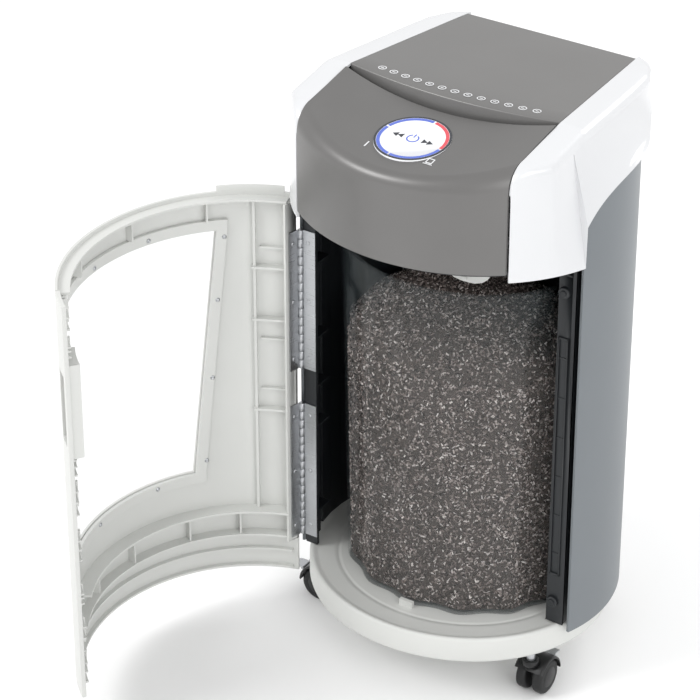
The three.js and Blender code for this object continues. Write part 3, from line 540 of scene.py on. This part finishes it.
def cover_border(share):
    front_y = oval(HEAD, COVER_FRONT)[1]
    y = front_y + (head_back(REAR_HALF) - front_y) * share
    radius = nose_radius(SLOT_HALF)
    crown = panel_height(SLOT_HALF, front_y)
    if y > SLOT_Y:
        height = top_height(y)
    elif y < front_y + radius:
        height = crown - radius + math.sqrt(max(0, radius ** 2 - (front_y + radius - y) ** 2))
    else:
        height = crown + (SLOT_TOP - crown) * (y - front_y - radius) / (SLOT_Y - front_y - radius)
    return (top_half(y) + GAP, y, height)


# The cover's crown: pairs of the share of its width out from the border, and the fall below it.
CROWN_WIDTH = 29
CROWN = [(1.08, 11), (1.07, 9.4), (1.05, 7.4), (1.02, 5.5), (0.97, 3.8), (0.92, 2.7), (0.87, 2),
         (0.78, 1.3), (0.6, 0.6), (0.3, 0.2), (0, 0)]


def cover_station(angle, inset):
    border = cover_border((angle - COVER_FRONT) / (COVER_BACK - COVER_FRONT))
    wall = head_point(angle, inset)
    reach = min(0.85, CROWN_WIDTH / math.hypot(wall[0] - border[0], wall[1] - border[1]))
    foot = oval(DRUM, angle, inset - 5 if angle < COVER_SIDE else -0.8)
    low = cover_low(angle) if angle < COVER_SIDE else cover_low(angle) + inset
    line = [(*foot, low), (*wall, low)]
    for part, fall in CROWN:
        line.append((border[0] + (wall[0] - border[0]) * part * reach,
                     border[1] + (wall[1] - border[1]) * part * reach,
                     border[2] - inset - fall))
    return line


cover_angles = (span(COVER_FRONT, COVER_FRONT + 6, 16) + span(COVER_FRONT + 7, COVER_SIDE - 0.1, 18)
                + span(COVER_SIDE + 0.1, COVER_BACK, 90))
for side, name in ((1, "right"), (-1, "left")):
    mirror = lambda p, s=side: (s * p[0], p[1], p[2])
    cover = Solid().shell([cover_station(a, 0) for a in cover_angles],
                          [cover_station(a, WALL) for a in cover_angles])
    cover.make(f"{name}_cover_skin", GLOSS_WHITE, "cabinet", "gloss_white",
               replaces=[f"{name}_head_cover"], place=mirror)


# ---------------------------------------------------------------- control disc and prints
TILT = math.atan(PANEL_SLOPE)


def on_panel(u, v, height):
    """A point on the control panel's plane, from the disc's centre, u to the right, v to the back."""
    return (DISC[0] + u, DISC[1] + v * math.cos(TILT) - height * math.sin(TILT),
            panel_height(DISC[0], DISC[1]) + v * math.sin(TILT) + height * math.cos(TILT))


def ring_sector(solid, radius0, radius1, angle0, angle1, low, high, slot, step=4, offset=(0, 0)):
    angles = span(angle0, angle1, max(2, round(abs(angle1 - angle0) / step)))
    grid = lambda h: [[on_panel(offset[0] + r * math.sin(math.radians(a)),
                                offset[1] + r * math.cos(math.radians(a)), h) for a in angles]
                      for r in (radius0, radius1)]
    solid.shell(grid(high), grid(low), slot=slot)


def flat_shape(solid, outline, low, high, slot, offset=(0, 0)):
    points = [on_panel(offset[0] + u, offset[1] + v, h) for h in (low, high) for u, v in outline]
    solid.capped(points, slot)


disc = Solid()
profile = [(38.0, -5), (39, -4.4), (39, 0.2), (38.4, 0.8), (36.2, 0.9), (35.8, 0.5)]
rows = [[on_panel(r * math.sin(math.radians(a)), r * math.cos(math.radians(a)), h)
         for a in span(0, 360, 96)[:-1]] for r, h in profile]
disc.stack(rows)
disc.make("control_disc_body", DISC_WHITE, "cabinet", "disc_white", replaces=["control_disc"])

marks = Solid()
ring_sector(marks, 36.4, 38.8, 0, 360, 0.62, 1.0, 2)
for start, end, ink in ((10, 96, 1), (100, 190, 0), (194, 282, 0), (286, 366, 0)):
    ring_sector(marks, 32.6, 36.2, start, end, 0.3, 0.86, ink)
ring_sector(marks, 5.2, 6.6, 28, 332, 0.3, 0.75, 0)
flat_shape(marks, [(-0.7, 2), (0.7, 2), (0.7, 7.6), (-0.7, 7.6)], 0.3, 0.75, 0)
for side in (-1, 1):
    for step in (12.5, 18.5):
        tip, root = side * (step + 4.6), side * (step - 1.4)
        outline = [(root, -3.6), (tip, 0), (root, 3.6)]
        flat_shape(marks, outline if side > 0 else outline[::-1], 0.3, 0.75, 2)
marks.make("control_disc_marks", INK_BLUE, "cabinet", "disc_white", materials=[INK_RED, INK_DARK])

signs = Solid()


def sign_frame(u, v, half_u, half_v, line=0.9):
    outer = [(-half_u, -half_v), (half_u, -half_v), (half_u, half_v), (-half_u, half_v)]
    for i in range(4):
        (ua, va), (ub, vb) = outer[i], outer[(i + 1) % 4]
        low_u, high_u = min(ua, ub) - line / 2, max(ua, ub) + line / 2
        low_v, high_v = min(va, vb) - line / 2, max(va, vb) + line / 2
        if i % 2:
            low_v, high_v = low_v + line + 0.02, high_v - line - 0.02
        flat_shape(signs, [(low_u, low_v), (high_u, low_v), (high_u, high_v), (low_u, high_v)],
                   -0.2, 0.25, 0, (u, v))


sign_frame(-36, 28, 3.2, 4.2)
flat_shape(signs, [(-2, 1.2), (2, 1.2), (2, 2), (-2, 2)], -0.2, 0.25, 0, (-36, 28))
flat_shape(signs, [(-2, -0.8), (2, -0.8), (2, 0), (-2, 0)], -0.2, 0.25, 0, (-36, 28))
sign_frame(36, 30, 4.2, 3.2)
flat_shape(signs, [(-3, -5.4), (3, -5.4), (3, -4.6), (-3, -4.6)], -0.2, 0.25, 0, (36, 30))
flat_shape(signs, [(-0.6, -4.5), (0.6, -4.5), (0.6, 4.5), (-0.6, 4.5)], -0.2, 0.25, 0, (-36, -28))
sign_frame(36, -26, 3.2, 3.6)
flat_shape(signs, [(-5, -6), (5, -6), (5, -5.2), (-5, -5.2)], -0.2, 0.25, 0, (36, -26))
signs.make("panel_signs", PRINT_WHITE, "cabinet", "disc_white")


def on_top(x, y, height):
    return (x, y, top_height(y) + height)


rings = Solid()
for i in range(13):
    x = -90 + 15 * i
    y = slot_rear(x) + 16
    turns = [2 * math.pi * k / 24 for k in range(25)]
    grid = lambda h: [[on_top(x + r * math.cos(a), y + r * math.sin(a), h) for a in turns]
                      for r in (3.6, 4.4)]
    rings.shell(grid(0.2), grid(-0.2))
    flat = [(-1.6, -0.5), (1.6, -0.5), (1.6, 0.5), (-1.6, 0.5)]
    rings.capped([on_top(x + u, y + v, h) for h in (-0.2, 0.2) for u, v in flat])
rings.make("top_ring_marks", PRINT_WHITE, "cabinet", "disc_white")

# ---------------------------------------------------------------- tray and drum panels
tray = Solid()
tray.oval_ring(TRAY, [
    (3, 58), (0.8, 59), (0, 61.5), (0, 84), (0.6, 86.6), (2, 88), (4, 88), (5.6, 87.4), (8, 86.2),
    (10.5, 85.7), (26, 85.3), (30, 85.1), (31, 84.4), (33, 84.4), (34, 84.9), (36, 84.9),
], count=144)
tab_y = BIN_Y - BIN[1]
tray.block(-8, 8, tab_y - 4, tab_y + 0.6, 84, 92)
tray.make("tray_skin", WHITE, "cabinet", "white_plastic", replaces=["base_tray"], bevel=0.0)

for side, name in ((1, "right"), (-1, "left")):
    edge = PANEL_EDGES[name]
    mirror = lambda p, s=side: (s * p[0], p[1], p[2])
    angles = ([edge, COVER_SIDE] if edge < COVER_SIDE else [edge]) + span(71.5, PANEL_BACK, 60)
    levels = lambda a: (PANEL_BOTTOM, PANEL_BOTTOM + 1, cover_low(a) + 4, cover_low(a) + 5)
    wall_lines = [[[(*oval(DRUM, a, inset), z) for z in levels(a)] for a in angles] for inset in (0, WALL)]
    Solid().shell(*wall_lines).make(f"{name}_panel_skin", SLATE, "cabinet", "slate_paint",
                                    replaces=[f"{name}_side_panel"], place=mirror)

# ---------------------------------------------------------------- bin and shreds


def fluted(angle, z, inset, depth):
    flare = BIN_FLARE * (z - BIN_BOTTOM) / (BIN_TOP - BIN_BOTTOM)
    flute = depth * 0.5 * (1 - math.cos(math.radians(FLUTES * angle)))
    x, y = oval(BIN, angle, inset + flute - flare)
    return (x, BIN_Y + y, z)


BIN_STEPS = FLUTES * 14
bin_angles = span(0, 360, BIN_STEPS)[:-1]


def bin_depth(z):
    if z > RIM_START:
        return 0
    return min(FLUTE_DEPTH, FLUTE_DEPTH * (RIM_START - z) / (RIM_START - FLUTE_END))


bin_levels = [BIN_BOTTOM + 0.8, *span(BIN_FOOT, 430, 10), *span(FLUTE_END, RIM_START, 6)[1:],
              HAND_HOLE_LOW, HAND_HOLE_HIGH, LIP_START, BIN_TOP]


def bin_outer(angle, z):
    lip = -1.2 if z >= LIP_START else 0
    return fluted(angle, z, lip + (0.8 if z < BIN_FOOT else 0), bin_depth(z))


def hand_hole(i, j):
    y = oval(BIN, (j + 0.5) * 360 / BIN_STEPS)[1]
    return bin_levels[i] >= HAND_HOLE_LOW and bin_levels[i + 1] <= HAND_HOLE_HIGH and abs(y) < HAND_HOLE_HALF


cup = Solid()
outer = [[bin_outer(a, z) for a in bin_angles] for z in bin_levels]
inner = [[fluted(a, max(z, BIN_BOTTOM + BIN_WALL), BIN_WALL, bin_depth(z)) for a in bin_angles]
         for z in bin_levels]
cup.shell(outer, inner, keep=lambda i, j: not hand_hole(i, j), closed=True)
cup.capped([fluted(a, z, 1.5, FLUTE_DEPTH) for z in (85.7, 87.9) for a in bin_angles])
cup.make("shred_bin_clear", CLEAR_BIN, "bin", "clear_plastic", replaces=["shred_bin"])

random.seed(41)
HEAP_ROWS = [(1, 89.4), (1, 180), (1, 280), (1, 366), (0.97, 374), (0.9, 386), (0.78, 398), (0.6, 409),
             (0.4, 418), (0.2, 423), (0.06, 424)]
HEAP_STEPS = 140


def heap_point(angle, share, z, inset):
    depth = FLUTE_DEPTH if share == 1 else FLUTE_DEPTH * max(0, share - 0.5)
    x, y, z = fluted(angle, z, inset, depth)
    return (x * share, BIN_Y + (y - BIN_Y) * share, z)


core = Solid()
core.stack([[heap_point(360 * k / HEAP_STEPS, s, z, 5.2) for k in range(HEAP_STEPS)] for s, z in HEAP_ROWS])
TONES = [(0.16, 0.128, 0.116), (0.29, 0.24, 0.22), (0.48, 0.42, 0.395), (0.82, 0.76, 0.73),
         (0.05, 0.038, 0.034)]
WEIGHTS = [24, 30, 24, 14, 14]


def shred(centre, normal, length, width):
    """One bent paper shred lying roughly across a normal."""
    axis = Vector((random.gauss(0, 1), random.gauss(0, 1), random.gauss(0, 1)))
    lean = (normal + 0.55 * axis).normalized()
    along = lean.orthogonal().normalized()
    along.rotate(Quaternion(lean, random.uniform(0, 6.28)))
    across = lean.cross(along)
    bend = random.uniform(-0.5, 0.5)
    points = []
    for step in (-1, 0, 1):
        middle = centre + along * (step * length / 2) + lean * (bend * step * step)
        points += [tuple(middle - across * width / 2), tuple(middle + across * width / 2)]
    return points


def heap_top(share):
    """The height of the heap's upper surface at a share of the bin's width."""
    for (outer_share, low), (inner_share, high) in zip(HEAP_ROWS[3:], HEAP_ROWS[4:]):
        if inner_share <= share <= outer_share:
            return low + (high - low) * (outer_share - share) / (outer_share - inner_share)
    return HEAP_ROWS[-1][1]


shreds = Solid()
tones = []
SHREDS = 44000
SIDE_SHARE = 0.76
for i in range(SHREDS):
    angle = random.uniform(0, 360)
    if random.random() < SIDE_SHARE:
        z = random.uniform(91, 372)
        place = Vector(heap_point(angle, 1, z, random.uniform(3.6, 5.6)))
        near = Vector((place.x / BIN[0] ** 2, (place.y - BIN_Y) / BIN[1] ** 2, 0)).normalized()
    else:
        share = math.sqrt(random.random())
        height = heap_top(share)
        place = Vector(heap_point(angle, share, height + random.uniform(-0.5, 1.4), 5.0))
        near = Vector((place.x * 0.004, (place.y - BIN_Y) * 0.004, 1)).normalized()
    points = shred(place, near, random.uniform(2.8, 4.6), random.uniform(1.2, 1.9))
    if near.z == 0:
        limit = Vector(heap_point(angle, 1, place.z, 3.1))
        reach = math.hypot(limit.x / BIN[0], (limit.y - BIN_Y) / BIN[1])
        kept = []
        for x, y, z in points:
            out = math.hypot(x / BIN[0], (y - BIN_Y) / BIN[1])
            pull = min(1, reach / out)
            kept.append((x * pull, BIN_Y + (y - BIN_Y) * pull, z))
        points = kept
    shreds.add(points, [[0, 1, 3, 2], [2, 3, 5, 4]])
    tone = random.choices(TONES, WEIGHTS)[0]
    gain = random.uniform(0.8, 1.25)
    tones.append([min(1, c * gain) for c in tone] + [1])


def heap_piece(name, solid, colours):
    mesh = bpy.data.meshes.new(name)
    mesh.from_pydata([at(p) for p in solid.points], [], solid.faces)
    mesh.materials.append(PAPER)
    layer = mesh.color_attributes.new("tone", "FLOAT_COLOR", "CORNER")
    values = []
    for polygon in mesh.polygons:
        values.extend(list(colours(polygon.index)) * polygon.loop_total)
    layer.data.foreach_set("color", values)
    mesh.update()
    obj = bpy.data.objects.new(name, mesh)
    bpy.context.scene.collection.objects.link(obj)
    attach(obj, "bin")
    return obj


# The core under the loose shreds gets one near-black colour: painted shade for the gaps between the shreds.
heap = heap_piece("shred_heap_core_painted_shade", core, lambda i: (0.11, 0.09, 0.08, 1))
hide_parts("shred_heap")
heap_piece("loose_shreds", shreds, lambda i: tones[i // 2])

# ---------------------------------------------------------------- door
DOOR = {"place": opened}


def window_left(z):
    return -33 + 10 * (WINDOW_HIGH - z) / (WINDOW_HIGH - WINDOW_LOW)


def door_grid(levels, left, columns, inset):
    rows = []
    for z in levels:
        edges = [left, window_left(min(WINDOW_HIGH, max(WINDOW_LOW, z))), WINDOW_RIGHT, DOOR_SPLIT]
        angles = []
        for (a, b), count in zip(zip(edges, edges[1:]), columns):
            angles += span(a, b, count)[:-1]
        angles.append(edges[-1])
        rows.append([(*oval(DRUM, a, inset), z) for a in angles])
    return rows


door_levels = [DOOR_BOTTOM, *span(DOOR_BOTTOM + 2, WINDOW_LOW, 6), *span(WINDOW_LOW, WINDOW_HIGH, 10)[1:],
               *span(WINDOW_HIGH, DOOR_TOP, 3)[1:]]
door_columns = (16, 46, 5)
first_gap, last_gap = door_columns[0], door_columns[0] + door_columns[1]


def door_keep(i, j):
    in_rows = door_levels[i] >= WINDOW_LOW - 0.1 and door_levels[i + 1] <= WINDOW_HIGH + 0.1
    return not (in_rows and first_gap <= j < last_gap)


skin = Solid()
skin.shell(door_grid(door_levels, DOOR_LEFT, door_columns, -1),
           door_grid(door_levels, DOOR_LEFT, door_columns, 2), keep=door_keep)
skin.arc(-58, -34, 0, 2, 520.5, 528)
skin.make("door_skin", WHITE, "door", "white_plastic", replaces=["door_shell"], bevel=0.8, **DOOR)

ribs = Solid()
for z, deep, left, right in ((514, 14, -60, 57), (52, 7, -60, 57), (74, 7, -60, 57), (97, 14, -60, 50),
                             (129, 18, -60, 46)):
    ribs.arc(left, right, 1.5, deep, z, z + 2.5, step=1.5)
for z in (257, 369, 432):
    ribs.arc(-61, -46, 1.5, 10, z, z + 2.5)
for z in (282, 344, 455):
    ribs.arc(-60, -49, 1.5, 6, z, z + 2)
ribs.arc(-47.5, -46.5, 1.5, 8, 131, 514, step=1)
for angle in (-40, -20, 5, 28):
    ribs.arc(angle - 0.35, angle + 0.35, 1.5, 12, 99, 129.5, step=1)
for angle in (-30, 0, 30):
    ribs.arc(angle - 0.35, angle + 0.35, 1.5, 12, 491, 514.5, step=1)
ribs.make("door_ribs", WHITE, "door", "white_plastic", bevel=0.4, **DOOR)

flange = Solid()
flange.block(-153.5, -150, -82, -74.4, 94, 514)
flange.block(-153.5, -139, -77.4, -74.4, 94, 514)
flange.make("door_hinge_flange", WHITE, "door", "white_plastic", bevel=0.6, **DOOR)


def window_ring(outer_margin, inner_margin, inset0, inset1, columns=46):
    """A frame round the window: grids with a hole in the middle."""
    def grid(inset):
        rows = []
        for z in (WINDOW_LOW - outer_margin, WINDOW_LOW - inner_margin,
                  *span(WINDOW_LOW, WINDOW_HIGH, 8)[1:-1],
                  WINDOW_HIGH + inner_margin, WINDOW_HIGH + outer_margin):
            level = min(WINDOW_HIGH, max(WINDOW_LOW, z))
            outer_side, inner_side = outer_margin / 3, inner_margin / 3
            angles = [window_left(level) - outer_side, *span(window_left(level) - inner_side,
                      WINDOW_RIGHT + inner_side, columns), WINDOW_RIGHT + outer_side]
            rows.append([(*oval(DRUM, a, inset), z) for a in angles])
        return rows
    rows = len(grid(inset0))
    keep = lambda i, j: i == 0 or i == rows - 2 or j == 0 or j == columns + 1
    return grid(inset0), grid(inset1), keep


ring = Solid()
outer, inner, keep = window_ring(14, 1.5, 2.3, 6.5)
ring.shell(outer, inner, keep=keep)
ring.make("door_window_ring", WHITE, "door", "white_plastic", replaces=["door_window_frame"], bevel=0.9,
          **DOOR)

pane = Solid()
pane_rows = span(WINDOW_LOW + 0.8, WINDOW_HIGH - 0.8, 8)
pane_grid = lambda inset: [[(*oval(DRUM, a, inset), z) for a in
                            span(window_left(z) + 0.27, WINDOW_RIGHT - 0.27, 46)] for z in pane_rows]
pane.shell(pane_grid(-0.4), pane_grid(1.2))
pane.make("door_pane", CLEAR_PANE, "door", "clear_plastic", replaces=["door_window_pane"], **DOOR)

strip = Solid()
strip_angles = [DOOR_SPLIT + 0.15, 59.5, *span(59.5, 67, 6)[1:], DOOR_RIGHT]
strip_levels = [DOOR_BOTTOM, 56, *span(56, DOOR_GRIP_LOW, 8)[1:], *span(DOOR_GRIP_LOW, DOOR_GRIP_HIGH, 4)[1:],
                *span(DOOR_GRIP_HIGH, 515, 4)[1:], DOOR_TOP]
strip_grid = lambda inset: [[(*oval(DRUM, a, inset), z) for a in strip_angles] for z in strip_levels]
outside_grip = lambda i, j: not (
    DOOR_GRIP_LOW <= strip_levels[i] and strip_levels[i + 1] <= DOOR_GRIP_HIGH and 1 <= j <= 6)
strip.shell(strip_grid(-1), strip_grid(4), keep=outside_grip)
strip.make("door_edge_skin", WHITE, "door", "white_plastic", replaces=["door_edge_strip"], bevel=1.0, **DOOR)

teeth = Solid()
for low, high in ((488, 515), (457, 470), (318, 338), (270, 300), (214, 240), (160, 174), (100, 132),
                  (60, 86)):
    teeth.arc(58.5, 60.2, 4, 11, low, high, step=1)
    for z in (low, (low + high) / 2, high - 2):
        teeth.arc(59.5, 66.5, 4, 9, z, z + 2, step=1)
teeth.make("door_edge_teeth", WHITE, "door", "white_plastic", bevel=0.4, **DOOR)

latch = Solid()
latch.arc(55, 68.2, 13, 16, LATCH_LOW, LATCH_HIGH, step=1)
latch.arc(55, 55.8, 2.3, 14, LATCH_LOW, LATCH_HIGH, step=1)
latch.arc(67.4, 68.2, 4.3, 14, LATCH_LOW, LATCH_HIGH, step=1)
latch.arc(55.4, 68, 4.3, 14, LATCH_HIGH - 2.4, LATCH_HIGH, step=1)
latch.arc(55.4, 68, 4.3, 14, LATCH_LOW, LATCH_LOW + 2.4, step=1)
latch.make("door_latch_box", WHITE, "door", "white_plastic", replaces=["door_latch_plate"], bevel=0.7, **DOOR)


# ---------------------------------------------------------------- screws
def screw_head(solid, centre, outward, radius=2.6, height=1.4):
    """A domed cross-head screw whose flat side lies at the centre, facing outward."""
    out = Vector(outward).normalized()
    side = out.orthogonal().normalized()
    up = out.cross(side)
    rings = [(radius, -0.6), (radius, 0.25 * height), (radius * 0.82, 0.75 * height), (radius * 0.5, height)]
    sides = 20
    points = []
    for r, h in rings:
        for k in range(sides):
            a = 2 * math.pi * k / sides
            around = side * r * math.cos(a) + up * r * math.sin(a)
            points.append(tuple(Vector(centre) + around + out * h))
    points.append(tuple(Vector(centre) + out * height * 0.35))
    faces = []
    for i in range(len(rings) - 1):
        for k in range(sides):
            n = (k + 1) % sides
            faces.append([i * sides + k, i * sides + n, (i + 1) * sides + n, (i + 1) * sides + k])
    faces.append(list(range(sides)))
    top = (len(rings) - 1) * sides
    for k in range(sides):
        faces.append([top + k, top + (k + 1) % sides, len(points) - 1])
    solid.add(points, faces)


door_screws = Solid()
for angle, z in ((-36.3, 470), (-33.4, 395), (-30.8, 300), (-27.8, 196), (-8, 482.5), (18, 482.5),
                 (44, 482.5), (52.4, 430), (52.4, 330), (52.4, 220), (-8, 175.5), (22, 175.5), (46, 175.5)):
    x, y = oval(DRUM, angle, 6.5)
    screw_head(door_screws, (x, y, z), (-math.sin(math.radians(angle)), math.cos(math.radians(angle)), 0))
for z in (360, 433):
    x, y = oval(DRUM, 61, 16)
    screw_head(door_screws, (x, y, z), (-math.sin(math.radians(61)), math.cos(math.radians(61)), 0), 3.2)
door_screws.make("door_screws", STEEL, "door", "steel", **DOOR)


# ---------------------------------------------------------------- hinges
def hinge_leaf(low, high, parity, plate_y, plate_end, screws, front):
    count = 16
    length = (high - low) / count
    leaf = Solid()
    leaf.block(HINGE[0] + 3.4, plate_end, plate_y, plate_y + 1.2, low, high)
    for i in range(parity, count, 2):
        z0, z1 = low + i * length + 0.2, low + (i + 1) * length - 0.2
        leaf.rod("z", HINGE, z0, z1, rod_profile(3.1, 0.4, z1 - z0), sides=20)
        leaf.block(HINGE[0] + 1.5, HINGE[0] + 3.6, plate_y, plate_y + 1.2, z0, z1)
    for z in screws:
        face_y, outward = (plate_y, -1) if front else (plate_y + 1.2, 1)
        screw_head(leaf, (HINGE[0] + 9.6, face_y, z), (0, outward, 0), 2.4, 1.0)
    return leaf


for place_name, low, high in LEAVES:
    screws = [low + 14, (low + high) / 2, high - 14]
    body_leaf = hinge_leaf(low, high, 0, HINGE[1] + 0.2, -140, screws, True)
    body_leaf.make(f"body_leaf_{place_name}", STEEL, "cabinet", "steel",
                   replaces=[f"body_hinge_leaf_{place_name}", f"hinge_pin_{place_name}"])
    door_leaf = hinge_leaf(low, high, 1, HINGE[1] - 1.9, -143, screws, False)
    door_leaf.make(f"door_leaf_{place_name}", STEEL, "door", "steel",
                   replaces=[f"door_hinge_leaf_{place_name}"], **DOOR)

# ---------------------------------------------------------------- frame inside, flap
post = Solid()
post.block(140, 160, -55, -51.5, POST_LOW, POST_HIGH)
post.block(156, 160, -55, -36, POST_LOW, POST_HIGH)
post.block(140, 142.4, -55, -44, POST_LOW, POST_HIGH)
post.make("latch_post_body", BLACK, "cabinet", "black_plastic", replaces=["latch_post"], bevel=0.7)
bosses = Solid()
for z in (116, 492):
    bosses.rod("y", (148, z), -59, -53, rod_profile(6.4, 0.6, 6), sides=28)
    bosses.rod("y", (148, z), -60.2, -58.5, rod_profile(3.2, 0.4, 1.7), sides=20)
bosses.block(143, 155, -57.2, -54, 150, 152.5)
bosses.block(143, 155, -57.2, -54, 437.5, 440)
bosses.block(143, 144.6, -57.2, -54, 150, 440)
bosses.block(153.4, 155, -57.2, -54, 150, 440)
bosses.block(142, 156, -57.5, -54, 512, 514)
bosses.block(142, 156, -57.5, -54, 524, 526)
for z in span(176, 414, 5):
    bosses.block(144, 154, -56, -54, z, z + 2)
bosses.make("latch_post_details", BLACK, "cabinet", "black_plastic", bevel=0.3)

flap = Solid()
half_outline = [(5, -37), (12, -36), (20, -33), (26, -28), (32, -18), (32, 0)]
flap_outline = [(-x, z) for x, z in reversed(half_outline)] + half_outline
flap_x, flap_y, flap_z = FLAP
flap.capped([(flap_x + x, flap_y + y, flap_z + z) for y in (-1.5, 1.5) for x, z in flap_outline])
flap.rod("x", (flap_y, flap_z), 14, 82, rod_profile(3, 0.5, 68), sides=20)
flap.rod("y", (flap_x, 491), -86, -83, rod_profile(3, 0.6, 3), sides=20)
flap.make("bin_full_flap_skin", WHITE, "flap", "white_plastic", replaces=["bin_full_flap"], bevel=0.5)


# ---------------------------------------------------------------- casters
def caster_place(x, y, turn):
    c, s = math.cos(math.radians(turn)), math.sin(math.radians(turn))
    return lambda p: (x + p[0] * c - p[1] * s, y + p[0] * s + p[1] * c, p[2])


TRAIL, WHEEL = 14, 20
TREAD = [(0, 14.5), (0.04, 17), (0.14, 19.4), (0.3, 20), (0.7, 20), (0.88, 19.2), (0.97, 17.4), (1, 15.5)]
for name, (x, y, turn) in CASTERS.items():
    put = caster_place(x, y, turn)
    wheels = Solid()
    for side in (-1, 1):
        low, high = (3.6, 16) if side > 0 else (-16, -3.6)
        wheels.rod("x", (TRAIL, WHEEL), low, high, TREAD, sides=56)
        hub0, hub1 = (15.6, 16.6) if side > 0 else (-16.6, -15.6)
        wheels.rod("x", (TRAIL, WHEEL), hub0, hub1, [(0, 11), (0.5, 11.6), (1, 10.8)], sides=40, slot=1)
    wheels.rod("x", (TRAIL, WHEEL), -6, 6, [(0, 3), (1, 3)], sides=20, slot=1)
    wheels.make(f"{name}_twin_wheel", TYRE, f"{name}_wheels", "tyre_black",
                replaces=[f"{name}_caster_wheels"], place=put, materials=[DEEP_BLACK])
    hood = Solid()
    arc = lambda r: [(TRAIL - r * math.cos(math.radians(a)), WHEEL + r * math.sin(math.radians(a)))
                     for a in span(35, 178, 26)]
    hood_xs = [-17, -16.2, *span(-14, 14, 6), 16.2, 17]
    drop = lambda hx: 1.4 if abs(hx) > 16.5 else (0.4 if abs(hx) > 15 else 0)
    hood.shell([[(hx, yy, zz) for yy, zz in arc(23.8 - drop(hx))] for hx in hood_xs],
               [[(hx, yy, zz) for yy, zz in arc(21.2)] for hx in hood_xs])
    web = [(TRAIL - r * math.cos(math.radians(a)), WHEEL + r * math.sin(math.radians(a)))
           for r, angles in ((21.8, span(36, 177, 16)), (4, span(177, 36, 8))) for a in angles]
    hood.capped([(hx, yy, zz) for hx in (-2.6, 2.6) for yy, zz in web])
    hood.rod("x", (TRAIL, WHEEL), -2.9, 2.9, [(0, 7), (1, 7)], sides=28)
    hood.rod("z", (0, 0), 40.2, 47.2, rod_profile(9, 0.8, 7), sides=32)
    hood.rod("z", (0, 0), 39.2, 58.6, [(0, 5), (1, 5)], sides=24, slot=1)
    hood.make(f"{name}_hood", DEEP_BLACK, f"{name}_caster", "black_plastic",
              replaces=[f"{name}_caster_hood"], place=put, materials=[STEEL])
    if name.startswith("front"):
        pivot_y, pivot_z = TRAIL + 24.4, WHEEL + 9.9
        brake = Solid()
        brake.rod("x", (pivot_y, pivot_z), -9, 9, rod_profile(2, 0.3, 18), sides=20)
        pedal = [[(px, pivot_y + py, pivot_z - 0.02 * (py - 6) ** 2 + 0.7) for px in span(-7, 7, 6)]
                 for py in span(0.5, 13, 8)]
        low = [[(p[0], p[1], p[2] - 1.6) for p in row] for row in pedal]
        brake.shell(pedal, low)
        brake.make(f"{name}_brake_lever", STEEL, f"{name}_brake", "steel",
                   replaces=[f"{name}_caster_brake"], place=put, bevel=0.3)

# ---------------------------------------------------------------- CAD pieces that keep their shape
KEPT = {
    SLATE: ["rear_panel"],
    BLACK: ["right_inner_wall", "left_inner_wall", "rear_inner_wall", "hinge_post", "head_floor",
            "front_throat_plate", "rear_throat_plate", "front_stripper_comb", "rear_stripper_comb",
            "power_inlet", "switch_housing", "door_interlock_switch", "mains_switch_rocker", "motor"],
    STEEL: ["left_cutter_plate", "right_cutter_plate", "front_tie_rod", "rear_tie_rod", "front_sync_gear",
            "rear_sync_gear", "drive_gear", "motor_pinion"],
    BLADE: ["front_cutter_shaft", "rear_cutter_shaft"],
    NYLON: ["idler_gear"],
    BOARD: ["control_board"],
}
for material, names in KEPT.items():
    for node in names:
        mesh_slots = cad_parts[node].material_slots
        for index in range(len(mesh_slots)):
            mesh_slots[index].material = material

# ---------------------------------------------------------------- floor and light
floor_material, floor_nodes, floor_links, floor_shader = new_material("floor")
floor_shader.inputs["Base Color"].default_value = (0.92, 0.92, 0.92, 1)
floor_shader.inputs["Roughness"].default_value = 0.8
floor_mesh = bpy.data.meshes.new("floor")
FLOOR = 12
corners = [(-FLOOR, -FLOOR, 0), (FLOOR, -FLOOR, 0), (FLOOR, FLOOR, 0), (-FLOOR, FLOOR, 0)]
floor_mesh.from_pydata(corners, [], [(0, 1, 2, 3)])
floor_mesh.materials.append(floor_material)
floor = bpy.data.objects.new("floor", floor_mesh)
bpy.context.scene.collection.objects.link(floor)

world = bpy.data.worlds.new("world")
bpy.context.scene.world = world
world.use_nodes = True
sky = world.node_tree.nodes["Background"]
sky.inputs["Color"].default_value = (1, 1, 1, 1)
sky.inputs["Strength"].default_value = 0.9
bpy.context.scene.view_settings.view_transform = "Standard"


def area_light(name, position, target, size, energy):
    data = bpy.data.lights.new(name, "AREA")
    data.shape = "DISK"
    data.size = size
    data.energy = energy
    light = bpy.data.objects.new(name, data)
    light.location = position
    light.rotation_euler = (Vector(position) - Vector(target)).to_track_quat("Z", "Y").to_euler()
    bpy.context.scene.collection.objects.link(light)


middle = (CENTRE.x, CENTRE.y, 0.35)
area_light("key", (-1.6, -2.0, 2.4), middle, 1.4, 44)
area_light("fill", (2.4, -1.4, 1.5), middle, 1.8, 24)
area_light("rim", (0.6, 2.2, 2.0), middle, 1.5, 22)
